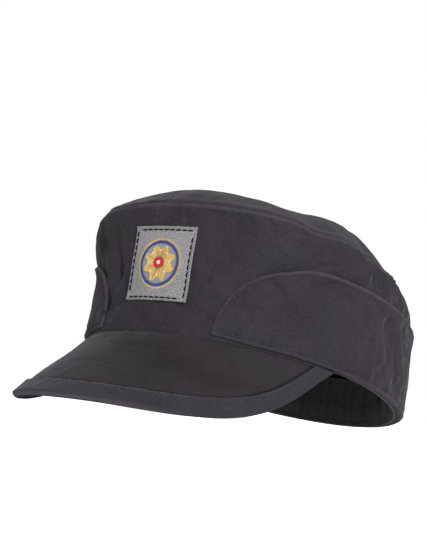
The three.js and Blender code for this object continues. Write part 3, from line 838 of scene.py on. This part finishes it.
# Painted shade: the peak is darkened in its hollow, beside the binding's raised edge and along
# its root under the crown, where shade falls, so its wear value is below nothing there
painted_shade = 0.5 * valley + 1.3 * bell(inside_binding - 0.0003, 0.0008) + 1.2 * bell(run_metres, 0.0013)
peak = add_piece("peak_cloth", points, faces, np.tile(threads, (2, 1)), outer_wear_and_light(-painted_shade))
peak_cotton = cotton("peak_cotton", PEAK_SHADED_COTTON, rub_and_light=0.45, mottle=0.7, crumple=0.0014)
peak.data.materials.append(peak_cotton)
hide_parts("peak")

# The peak's binding
# A strip of cotton folded over the plate's outer edge and sewn down along its inner edges, so
# it stands a cloth's thickness proud and pulls into small ripples.
BINDING_NOSE = 14
BINDING_LEG = 14
BINDING_RIPPLE = 0.00018
# The strip's whole width round the edge, of which the middle lies on the plate's nose
BINDING_STRIP = 0.028
# Lighter than the crown's cotton: painted light, for the light the binding gets out beyond the crown's
# shade
BINDING_LIT_COTTON = (0.0355, 0.0312, 0.0375, 1.0)


def binding_path(share, lift, relief):
    """Points down the upper leg, round the plate's edge and back up under it."""
    reach = peak_reach(share)
    tip = reach - BINDING_EASE - BINDING_CLOTH
    leg_start = np.maximum(reach - BINDING_WIDTH, 2 * CLEARANCE)
    half = PEAK_PLATE / 2
    nose = half + lift
    rows = []
    for t in spread(0.0, 1.0, BINDING_LEG, 0.6):
        run = leg_start + (tip - leg_start) * t
        rounding = np.clip(1 - (run - leg_start) / BINDING_CLOTH, 0, 1)
        ease = np.sqrt(np.clip(1 - rounding**2, 0.04, 1))
        wave = relief * np.sin(share * 95 + 3 * np.sin(share * 17)) * (1 - t)
        rows.append(peak_point(share, run, lift * ease + wave))
    for a in np.linspace(0, np.pi, BINDING_NOSE)[1:-1]:
        rows.append(peak_point(share, tip + nose * 0.62 * np.sin(a), nose * np.cos(a) - half))
    for t in spread(1.0, 0.0, BINDING_LEG, 0.6):
        run = leg_start + (tip - leg_start) * t
        rows.append(peak_point(share, run, np.full(share.shape, -PEAK_PLATE - lift)))
    return np.stack(rows, axis=1)


binding_outer = binding_path(peak_shares, BINDING_EASE + BINDING_CLOTH, BINDING_RIPPLE)
binding_inner = binding_path(peak_shares, BINDING_EASE, 0.0)
points, faces = shell_mesh(binding_outer, binding_inner, False)
row_count = binding_outer.shape[1]
row_place = np.linspace(0, BINDING_STRIP, row_count)[None, :]
threads = thread_grid(peak_shares[:, None] * PEAK_ANGLE * MEAN_RADIUS * 1.4, row_place, 0.03)
# Its nose and its upper sewn edge are rubbed pale, the sewn edge's line also a painted highlight,
# and both are paler on the wearer's right and fade towards the wearer's left as painted shade
nose = bell(row_place - BINDING_STRIP / 2, 0.0022)
leg_edge_wear_and_highlight = bell(row_place, 0.0017)
lit_side = 1 - 0.8 * smooth_step(peak_shares, 0.0, 0.6)
wear_and_light = outer_wear_and_light((nose + 1.8 * leg_edge_wear_and_highlight) * lit_side[:, None])
binding = add_piece("peak_binding_cloth", points, faces, np.tile(threads, (2, 1)), wear_and_light)
binding_cotton = cotton("binding_cotton", BINDING_LIT_COTTON, rub_and_light=1.3, crumple=0.0008)
binding.data.materials.append(binding_cotton)
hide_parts("peak_binding")

# The sweatband
# A near-black cotton band sewn in along the rim and left loose at its upper edge. An elastic
# in its back half draws it into upright gathers.
BAND_HEIGHT = 0.030
BAND_CLOTH = 0.0012
BAND_STAND = 0.0028
BAND_LEAN = 0.010
BAND_ROWS = 30
BAND_GATHER = 0.0009
BAND_WELT = 0.0004
# Lighter than a near-black band: painted light, brightening the band inside the cap where little light
# reaches
BAND_LIT_COTTON = (0.070, 0.064, 0.071, 1.0)
band_heights = spread(CLEARANCE, BAND_HEIGHT, BAND_ROWS, 0.6)
# Its columns start at the front, where its two ends meet
band_turns = np.linspace(0, 2 * np.pi, WALL_COLUMNS, endpoint=False)
turn_grid, height_grid = np.meshgrid(band_turns, band_heights, indexing="ij")
up_grid = height_grid / CROWN_HEIGHT
gathered = smooth_step(np.abs(wrapped(turn_grid)), 0.9, 1.6)
ripple = np.sin(turn_grid * 88 + 2.5 * np.sin(turn_grid * 11)) * (0.6 + 0.4 * np.sin(turn_grid * 29))
gather = BAND_GATHER * ripple * gathered * smooth_step(height_grid, 0.001, 0.008)
stand = CLEARANCE + BAND_STAND * np.minimum(1, height_grid / BAND_LEAN)
welt = BAND_WELT * bell(height_grid - BAND_HEIGHT, 0.0015)
rim_row = -ROW_GROOVE * bell(height_grid - RIM_STITCH, ROW_WIDE)
band_normal = normal_of(crown_form, turn_grid, up_grid)
band_back = crown_form(turn_grid, up_grid) - band_normal * (CLOTH + stand)[..., None]
band_thick = BAND_CLOTH + gather + welt + rim_row
band_front = band_back - band_normal * band_thick[..., None]
points, faces = shell_mesh(band_back, band_front, True)
threads = thread_grid(turn_grid * MEAN_RADIUS, height_grid, 0.05)
sweatband = add_piece("sweatband_cloth", points, faces, np.tile(threads, (2, 1)))
band_cotton = cotton("band_cotton", BAND_LIT_COTTON, rub_and_light=0.2, lint=0.1, sheen=0.15)
sweatband.data.materials.append(band_cotton)
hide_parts("sweatband")

# The stitching
# Lockstitch in a thread a shade lighter than the cloth: one row round the rim, one along the
# curtain's edge and one down each inner edge of the peak's binding.
THREAD = 0.00042
STITCH = 0.0024
STITCH_GAP = 0.0009
STITCH_SIDES = 6
STITCH_RINGS = 5
# Each stitch rises in its middle and sinks at its ends by this share of its thread
STITCH_ARCH = 0.45
THREAD_COTTON = (0.055, 0.051, 0.058, 1.0)


def stitches(path, normals, thread, length, gap):
    """Points and quads of short rounded threads laid along a path, each dipping at its ends."""
    steps_between = np.linalg.norm(np.diff(path, axis=0), axis=1)
    along = np.concatenate([[0], np.cumsum(steps_between)])
    starts = np.arange(gap, along[-1] - length, length + gap)
    t = np.linspace(0, 1, STITCH_RINGS)
    at = starts[:, None] + t[None, :] * length
    centre = np.stack([np.interp(at, along, path[:, k]) for k in range(3)], axis=-1)
    normal = np.stack([np.interp(at, along, normals[:, k]) for k in range(3)], axis=-1)
    normal /= np.linalg.norm(normal, axis=-1, keepdims=True)
    run = np.gradient(centre, axis=1)
    run /= np.linalg.norm(run, axis=-1, keepdims=True)
    side = np.cross(run, normal)
    girth = thread / 2 * (0.35 + 0.65 * np.sin(np.pi * np.clip(t, 0.06, 0.94)) ** 0.5)
    arch = thread * STITCH_ARCH * (np.sin(np.pi * t) - STITCH_ARCH)
    centre = centre + normal * arch[None, :, None]
    angle = np.linspace(0, 2 * np.pi, STITCH_SIDES, endpoint=False)
    angle = angle[:, None, None, None]
    ring = np.cos(angle) * side + np.sin(angle) * normal
    rounds = centre + ring * girth[None, None, :, None]
    points = np.transpose(rounds, (1, 2, 0, 3))
    count = len(starts)
    block = STITCH_RINGS * STITCH_SIDES
    faces = []
    for r in range(STITCH_RINGS - 1):
        for s in range(STITCH_SIDES):
            n = (s + 1) % STITCH_SIDES
            a = r * STITCH_SIDES
            faces.append((a + s, a + n, a + STITCH_SIDES + n, a + STITCH_SIDES + s))
    last = (STITCH_RINGS - 1) * STITCH_SIDES
    caps = [tuple(range(STITCH_SIDES))[::-1], tuple(range(last, last + STITCH_SIDES))]
    every = [tuple(i + k * block for i in face) for k in range(count) for face in faces + caps]
    return points.reshape(-1, 3), every


def add_stitches(name, rows, material, thread=THREAD, length=STITCH, gap=STITCH_GAP):
    """One piece of every stitch in a list of paths and normals."""
    points = np.zeros((0, 3))
    faces = []
    for path, normals in rows:
        new_points, new_faces = stitches(path, normals, thread, length, gap)
        faces.extend(tuple(i + len(points) for i in face) for face in new_faces)
        points = np.concatenate([points, new_points])
    piece = add_piece(name, points, faces, points * MILLIMETRES)
    piece.data.materials.append(material)
    return piece


def crown_row(turns, height, out):
    """A path and its normals on the crown at a height and clearance."""
    turns = np.asarray(turns)
    up = np.broadcast_to(height / CROWN_HEIGHT, turns.shape)
    return crown_face(turns, up, out), normal_of(crown_form, turns, up)


front_turns = np.linspace(-CURTAIN_START + 0.02, CURTAIN_START - 0.02, 120)
back_turns = np.linspace(CURTAIN_START + 0.03, 2 * np.pi - CURTAIN_START - 0.03, 900)
edge_turns = np.linspace(CURTAIN_START, np.pi, 900)
inset_x = edge_turns * CURTAIN_RUN
inset_y = curtain_edge(edge_turns)
slope = np.stack([np.gradient(inset_x), np.gradient(inset_y)], axis=-1)
slope /= np.linalg.norm(slope, axis=-1, keepdims=True)
inset_x = inset_x + slope[:, 1] * CURTAIN_STITCH
inset_y = inset_y - slope[:, 0] * CURTAIN_STITCH
above_end = inset_y > CURTAIN_END
start_y = np.linspace(0.004, CURTAIN_END, 12)
start_x = np.full(start_y.shape, CURTAIN_START * CURTAIN_RUN + CURTAIN_STITCH)
inset_x = np.concatenate([start_x, inset_x[above_end]])
inset_y = np.concatenate([start_y, inset_y[above_end]])
stitch_turns = inset_x / CURTAIN_RUN
curtain_out = CURTAIN_EASE + CURTAIN_CLOTH - 0.0002
row_slim = smooth_step((stitch_turns - CURTAIN_START) * MEAN_RADIUS, 0, END_SLIM_REACH)
row_out = curtain_out - CURTAIN_CLOTH * (1 - END_CLOTH) * (1 - row_slim)
left_row = crown_row(stitch_turns, inset_y, row_out)
right_row = crown_row(-stitch_turns, inset_y, row_out)
share_line = np.linspace(0.90, -0.90, 700)
hem_run = peak_reach(share_line) - BINDING_WIDTH + 0.0014
share_line = share_line[hem_run > 0.003]
hem_run = hem_run[hem_run > 0.003]
hem_lift = np.full(share_line.shape, BINDING_EASE + BINDING_CLOTH)
hem_top = peak_point(share_line, hem_run, hem_lift)
hem_under = peak_point(share_line, hem_run, -PEAK_PLATE - hem_lift)
hem_normal = peak_normal(share_line, hem_run)
thread_cotton = cotton("thread_cotton", THREAD_COTTON, rib=0.2, rub_and_light=0.0, relief=0.00002)
add_stitches(
    "rim_stitching",
    [
        crown_row(front_turns, RIM_STITCH, -0.0002),
        crown_row(back_turns, RIM_STITCH, curtain_out),
    ],
    thread_cotton,
)
# The curtain's row is finer and closer
add_stitches(
    "curtain_stitching",
    [left_row, right_row],
    thread_cotton,
    thread=0.0003,
    length=0.0026,
    gap=0.0004,
)
add_stitches(
    "binding_stitching",
    [(hem_top, hem_normal), (hem_under, -hem_normal)],
    thread_cotton,
)

# The front patch
# A woven rectangle of grey ribbed cloth, its edges turned under and sewn on with black thread.
# It carries a small embroidered rosette in gold, blue, red and white.
BADGE_WIDTH = 0.0381
BADGE_HEIGHT = 0.0386
BADGE_BASE = 0.0166
BADGE_CLOTH = 0.0011
BADGE_EASE = 0.00025
BADGE_STITCH = 0.0015
BADGE_COLUMNS = 112
BADGE_ROWS = 140
BADGE_DIP = 0.00035
PATCH_GREY = (0.176, 0.168, 0.174, 1.0)
BLACK = (0.010, 0.010, 0.011, 1.0)


def turn_across(across, up):
    """Turn at which the crown's face lies a given way across from the middle."""
    turn = np.zeros(np.broadcast(across, up).shape)
    for _ in range(8):
        width = section("wide", up) * HALF_WIDTH * (1 + section("taper", up) * np.cos(turn))
        turn = np.arcsin(across / width)
    return turn


def badge_point(across, height, out):
    """A point over the crown's front, by its way across, height and clearance."""
    up = height / CROWN_HEIGHT
    return crown_face(turn_across(across, up), up, out)


across_line = spread(-BADGE_WIDTH / 2, BADGE_WIDTH / 2, BADGE_COLUMNS, 0.5)
height_line = spread(BADGE_BASE, BADGE_BASE + BADGE_HEIGHT, BADGE_ROWS, 0.5)
across_grid, height_grid = np.meshgrid(across_line, height_line, indexing="ij")
to_side = BADGE_WIDTH / 2 - np.abs(across_grid)
to_end = BADGE_HEIGHT / 2 - np.abs(height_grid - BADGE_BASE - BADGE_HEIGHT / 2)
away = np.minimum(to_side, to_end)
rounding = np.clip(1 - away / (BADGE_CLOTH * 0.6), 0, 1)
thick = BADGE_CLOTH * np.sqrt(np.clip(1 - rounding**2, 0.05, 1))
row_dip = BADGE_DIP * bell(away - BADGE_STITCH, ROW_WIDE)
face_out = BADGE_EASE + thick - row_dip * np.clip(away / 0.001, 0, 1)
badge_outer = badge_point(across_grid, height_grid, face_out)
badge_inner = badge_point(across_grid, height_grid, np.full(across_grid.shape, BADGE_EASE))
points, faces = shell_mesh(badge_outer, badge_inner, False)
# The height runs the other way here, so that the ribs rise towards the right
threads = thread_grid(across_grid, -height_grid, 0.07)
wear_and_light = outer_wear_and_light(bell(away - 0.0003, 0.0006))
badge = add_piece("badge_cloth", points, faces, np.tile(threads, (2, 1)), wear_and_light)
ribs = {"rib": 1.8, "ribbed": 0.42, "relief": 0.0002}
patch_cloth = cotton("patch_cloth", PATCH_GREY, rub_and_light=0.35, lint=0.0, crumple=0.0002, **ribs)
badge.data.materials.append(patch_cloth)
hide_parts("badge")

# Black stitches run round the patch from one corner of their row to the next
left_x = -BADGE_WIDTH / 2 + BADGE_STITCH
right_x = BADGE_WIDTH / 2 - BADGE_STITCH
low_y = BADGE_BASE + BADGE_STITCH
high_y = BADGE_BASE + BADGE_HEIGHT - BADGE_STITCH
ROW_POINTS = 80
corners = ((left_x, low_y), (right_x, low_y), (right_x, high_y), (left_x, high_y), (left_x, low_y))
badge_rows = []
for (x0, y0), (x1, y1) in zip(corners, corners[1:]):
    across = np.linspace(x0, x1, ROW_POINTS)
    height = np.linspace(y0, y1, ROW_POINTS)
    up = height / CROWN_HEIGHT
    path = badge_point(across, height, np.full(ROW_POINTS, BADGE_EASE + BADGE_CLOTH - 0.00012))
    badge_rows.append((path, normal_of(crown_form, turn_across(across, up), up)))
black_thread = cotton("black_thread", BLACK, rib=0.2, rub_and_light=0.0, lint=0.0, relief=0.00002)
add_stitches(
    "badge_stitching",
    badge_rows,
    black_thread,
    thread=0.0008,
    length=0.0030,
    gap=0.0006,
)

# The embroidered rosette
# Satin stitch: each shape is filled with close parallel threads that stand a little proud. A
# blue ring with a gold cord edge holds eight gold petals round a red middle with white knots,
# and grey threads are overcast round the patch's own edge.
FLOSS = 0.00036
ROSETTE_HEIGHT = BADGE_BASE + BADGE_HEIGHT * 0.50
RING_OUT = 0.0124
RING_IN = 0.0105
PETAL_IN = 0.0034
PETAL_OUT = 0.0100
PETAL_WIDE = 0.0027
PETALS = 8
MIDDLE = 0.0036
CORD_WIDE = 0.0011
CORD_SLANT = 0.075
KNOT_SPACING = 0.0003
KNOT_HALF = 0.0006
KNOT_PLACE = PETAL_IN + 0.0032
MIDDLE_KNOT = 0.00115
# The overcast threads reach in over the patch's edge and slant along it
OVERCAST = 0.0009
OVERCAST_SLANT = 0.0005
OVERCAST_OUT = 0.0001
OVERCAST_GREY = (0.24, 0.232, 0.236, 1.0)
GOLD = (0.66, 0.43, 0.13, 1.0)
BLUE = (0.035, 0.060, 0.22, 1.0)
RED = (0.50, 0.022, 0.025, 1.0)
WHITE = (0.72, 0.71, 0.68, 1.0)
# Points along and across each thread, with each cross point's way to the side and rise
SATIN_STEPS = 7
SATIN_SIDES = 5
SATIN_SECTION = ((-1, 0.0), (-0.6, 0.75), (0, 1.0), (0.6, 0.75), (1, 0.0))


def floss(name, colour):
    """Rayon floss: bright dyed thread with a soft gloss and fine twisted strands."""
    material = cotton(name, colour, rib=0.16, rub_and_light=0.0, mottle=0.5, relief=0.00002, sheen=0.1, lint=0.0)
    surface = material.node_tree.nodes["Principled BSDF"]
    surface.inputs["Specular IOR Level"].default_value = 0.5
    return material


def satin(name, threads, colour, proud=0.0003):
    """One piece of flat threads, each from one point of the patch to another, in metres across
    and up from the rosette's middle."""
    threads = np.array(threads)
    t = np.linspace(0, 1, SATIN_STEPS)
    start = threads[:, None, :2]
    end = threads[:, None, 2:]
    line = start + (end - start) * t[None, :, None]
    run = (end - start) / np.linalg.norm(end - start, axis=-1, keepdims=True)
    side = np.stack([-run[..., 1], run[..., 0]], axis=-1) * FLOSS * 0.56
    arch = np.sin(np.pi * np.clip(t, 0.04, 0.96)) ** 0.4
    points = []
    for across, rise_share in SATIN_SECTION:
        spot = line + side * across * (0.5 + 0.5 * arch)[None, :, None]
        height = ROSETTE_HEIGHT + spot[..., 1]
        out = BADGE_EASE + BADGE_CLOTH - 0.0001 + proud * arch * rise_share
        points.append(badge_point(spot[..., 0], height, out * np.ones(height.shape)))
    points = np.stack(points, axis=2)
    block = SATIN_STEPS * SATIN_SIDES
    single = []
    for step in range(SATIN_STEPS - 1):
        a = step * SATIN_SIDES
        for side in range(a, a + SATIN_SIDES - 1):
            single.append((side, side + SATIN_SIDES, side + SATIN_SIDES + 1, side + 1))
        single.append((a + SATIN_SIDES - 1, a + 2 * SATIN_SIDES - 1, a + SATIN_SIDES, a))
    single.append(tuple(range(SATIN_SIDES)))
    single.append(tuple(range(block - 1, block - 1 - SATIN_SIDES, -1)))
    faces = [tuple(i + k * block for i in face) for k in range(len(threads)) for face in single]
    points = points.reshape(-1, 3)
    piece = add_piece(name, points, faces, points * MILLIMETRES)
    piece.data.materials.append(floss(name + "_floss", colour))
    return piece


def spoke(turn):
    """A unit step from the rosette's middle, turned from straight up."""
    return np.array([math.sin(turn), math.cos(turn)])


def turns_of(count, shift=0.0):
    """Evenly spread turns round a full circle, moved on by a share of a step."""
    return [2 * np.pi * (k + shift) / count for k in range(count)]


ring_count = int(2 * np.pi * RING_OUT / FLOSS / 1.05)
ring_threads = [(*(RING_IN * spoke(a)), *(RING_OUT * spoke(a))) for a in turns_of(ring_count)]
cord_threads = [
    (*(RING_OUT * spoke(a)), *((RING_OUT + CORD_WIDE) * spoke(a + CORD_SLANT)))
    for a in turns_of(int(ring_count * 0.62))
]

# Each petal's threads slant back from its midrib to both its edges
petal_threads = []
for a in turns_of(PETALS, 0.5):
    way = spoke(a)
    square = np.array([way[1], -way[0]])
    strands = int((PETAL_OUT - PETAL_IN) / FLOSS / 0.95)
    for s in range(strands):
        t = (s + 0.5) / strands
        wide = PETAL_WIDE * math.sin(math.pi * t**0.8) ** 0.7 + 0.0002
        spot = way * (PETAL_IN + (PETAL_OUT - PETAL_IN) * t)
        tilt = way * wide * 0.35
        petal_threads.append((*(spot - square * wide - tilt), *(spot + tilt)))
        petal_threads.append((*(spot + tilt), *(spot + square * wide - tilt)))

middle_threads = []
strands = int(2 * MIDDLE / FLOSS / 0.95)
for s in range(strands):
    x = -MIDDLE + 2 * MIDDLE * (s + 0.5) / strands
    reach = math.sqrt(MIDDLE**2 - x**2)
    middle_threads.append((x, -reach, x, reach))

knot_threads = []
for a in turns_of(PETALS):
    x, y = spoke(a) * KNOT_PLACE
    for shift in (-KNOT_SPACING, 0.0, KNOT_SPACING):
        knot_threads.append((x + shift, y - KNOT_HALF, x + shift, y + KNOT_HALF))
for shift in np.arange(-3, 4) * KNOT_SPACING:
    reach = math.sqrt(max(MIDDLE_KNOT**2 - shift**2, 1e-8))
    knot_threads.append((shift, -reach, shift, reach))

overcast_threads = []
half_wide = BADGE_WIDTH / 2
half_high = BADGE_HEIGHT / 2
for end in (-1, 1):
    low, high = end * (half_high - OVERCAST), end * (half_high + OVERCAST_OUT)
    for x in np.arange(-half_wide, half_wide, FLOSS * 1.9):
        overcast_threads.append((x, low, x + OVERCAST_SLANT, high))
    near, far = end * (half_wide - OVERCAST), end * (half_wide + OVERCAST_OUT)
    for y in np.arange(-half_high, half_high, FLOSS * 1.9):
        overcast_threads.append((near, y, far, y + OVERCAST_SLANT))

satin("badge_overcast", overcast_threads, OVERCAST_GREY)
satin("rosette_ring", ring_threads, BLUE)
satin("rosette_cord", cord_threads, GOLD, 0.0004)
satin("rosette_petals", petal_threads, GOLD, 0.0004)
satin("rosette_middle", middle_threads, RED)
satin("rosette_knots", knot_threads, WHITE, 0.0006)

# The studio
# A white floor that runs into a white surround, one soft light high behind the wearer's right
# and one from the front of the wearer's left, and the camera at the photograph's angle, raised
# just above the floor.
FLOOR_HALF = 6.0
# How bright the floor looks, and the share of it by which floor and surround light the cap
FLOOR_GLOW = 1.0
AIR = 0.33
PURE_WHITE = (1.0, 1.0, 1.0, 1.0)
floor_corners = [
    (-FLOOR_HALF, -FLOOR_HALF, 0),
    (FLOOR_HALF, -FLOOR_HALF, 0),
    (FLOOR_HALF, FLOOR_HALF, 0),
    (-FLOOR_HALF, FLOOR_HALF, 0),
]
floor_mesh = bpy.data.meshes.new("floor")
floor_mesh.from_pydata(floor_corners, [], [(0, 1, 2, 3)])
floor = bpy.data.objects.new("floor", floor_mesh)
bpy.context.scene.collection.objects.link(floor)
floor_paper = bpy.data.materials.new("floor_paper")
floor_paper.use_nodes = True
paper = floor_paper.node_tree.nodes["Principled BSDF"]
paper.inputs["Base Color"].default_value = (0.80, 0.80, 0.80, 1.0)
paper.inputs["Emission Color"].default_value = PURE_WHITE
paper.inputs["Roughness"].default_value = 0.9
paper.inputs["Specular IOR Level"].default_value = 0.1
floor_mesh.materials.append(floor_paper)


def seen_white(tree, looks, lights):
    """A strength that the camera sees as one value and the cap is lit by as another."""
    seen = group_node(tree, "ShaderNodeLightPath", (-500, 200))
    strength = maths(tree, "MULTIPLY", seen.outputs["Is Camera Ray"], looks - lights, (-300, 100))
    return maths(tree, "ADD", strength, lights, (-150, 100))


glow = seen_white(floor_paper.node_tree, FLOOR_GLOW, AIR)
floor_paper.node_tree.links.new(glow, paper.inputs["Emission Strength"])
world = bpy.data.worlds.new("studio")
world.use_nodes = True
studio_air = world.node_tree.nodes["Background"]
studio_air.inputs["Color"].default_value = PURE_WHITE
world.node_tree.links.new(seen_white(world.node_tree, 1.0, AIR), studio_air.inputs["Strength"])
bpy.context.scene.world = world
bpy.context.scene.view_settings.view_transform = "Standard"


def soft_light(name, place, aim, size, watts):
    """A square soft light aimed at a point."""
    lamp = bpy.data.lights.new(name, "AREA")
    lamp.size = size
    lamp.energy = watts
    light = bpy.data.objects.new(name, lamp)
    light.location = place
    light.rotation_euler = (Vector(aim) - Vector(place)).to_track_quat("-Z", "Y").to_euler()
    bpy.context.scene.collection.objects.link(light)
    return light


soft_light("high_light", (-0.75, 0.8, 1.35), (0, 0, 0.05), 0.5, 12)
soft_light("side_light", (1.45, -1.12, 0.90), (0, 0, 0.06), 0.35, 35)

# The photograph's height and focal length in pixels, and how far right of its middle and below
# it the cap's middle lies
FRAME_HEIGHT = 536
FOCAL_PIXELS = 1420.0
MIDDLE_RIGHT = 62.6
MIDDLE_BELOW = 20.0
CAMERA_AZIMUTH = math.radians(33.85)
CAMERA_DISTANCE = 0.820
CAMERA_HEIGHT = 0.009
CAMERA_ROLL = math.radians(5.25)
SENSOR = 36.0
CAP_MIDDLE_HEIGHT = 0.0573
cap_middle = cap_place @ Vector((0, 0, CAP_MIDDLE_HEIGHT))
drop = cap_middle.z - CAMERA_HEIGHT
flat = math.sqrt(CAMERA_DISTANCE**2 - drop**2)
eye = Vector((
    cap_middle.x + flat * math.sin(CAMERA_AZIMUTH),
    cap_middle.y - flat * math.cos(CAMERA_AZIMUTH),
    CAMERA_HEIGHT,
))
lens = bpy.data.cameras.new("camera")
lens.sensor_width = SENSOR
lens.lens = FOCAL_PIXELS * SENSOR / FRAME_HEIGHT
lens.clip_start = 0.01
camera = bpy.data.objects.new("camera", lens)
camera.location = eye
level_view = (cap_middle - eye).to_track_quat("-Z", "Y")
rolled = level_view @ Quaternion((0, 0, 1), CAMERA_ROLL)
sight = Vector((MIDDLE_RIGHT, -MIDDLE_BELOW, -FOCAL_PIXELS)).normalized()
camera.rotation_mode = "QUATERNION"
camera.rotation_quaternion = rolled @ sight.rotation_difference(Vector((0, 0, -1)))
bpy.context.scene.collection.objects.link(camera)
bpy.context.scene.camera = camera
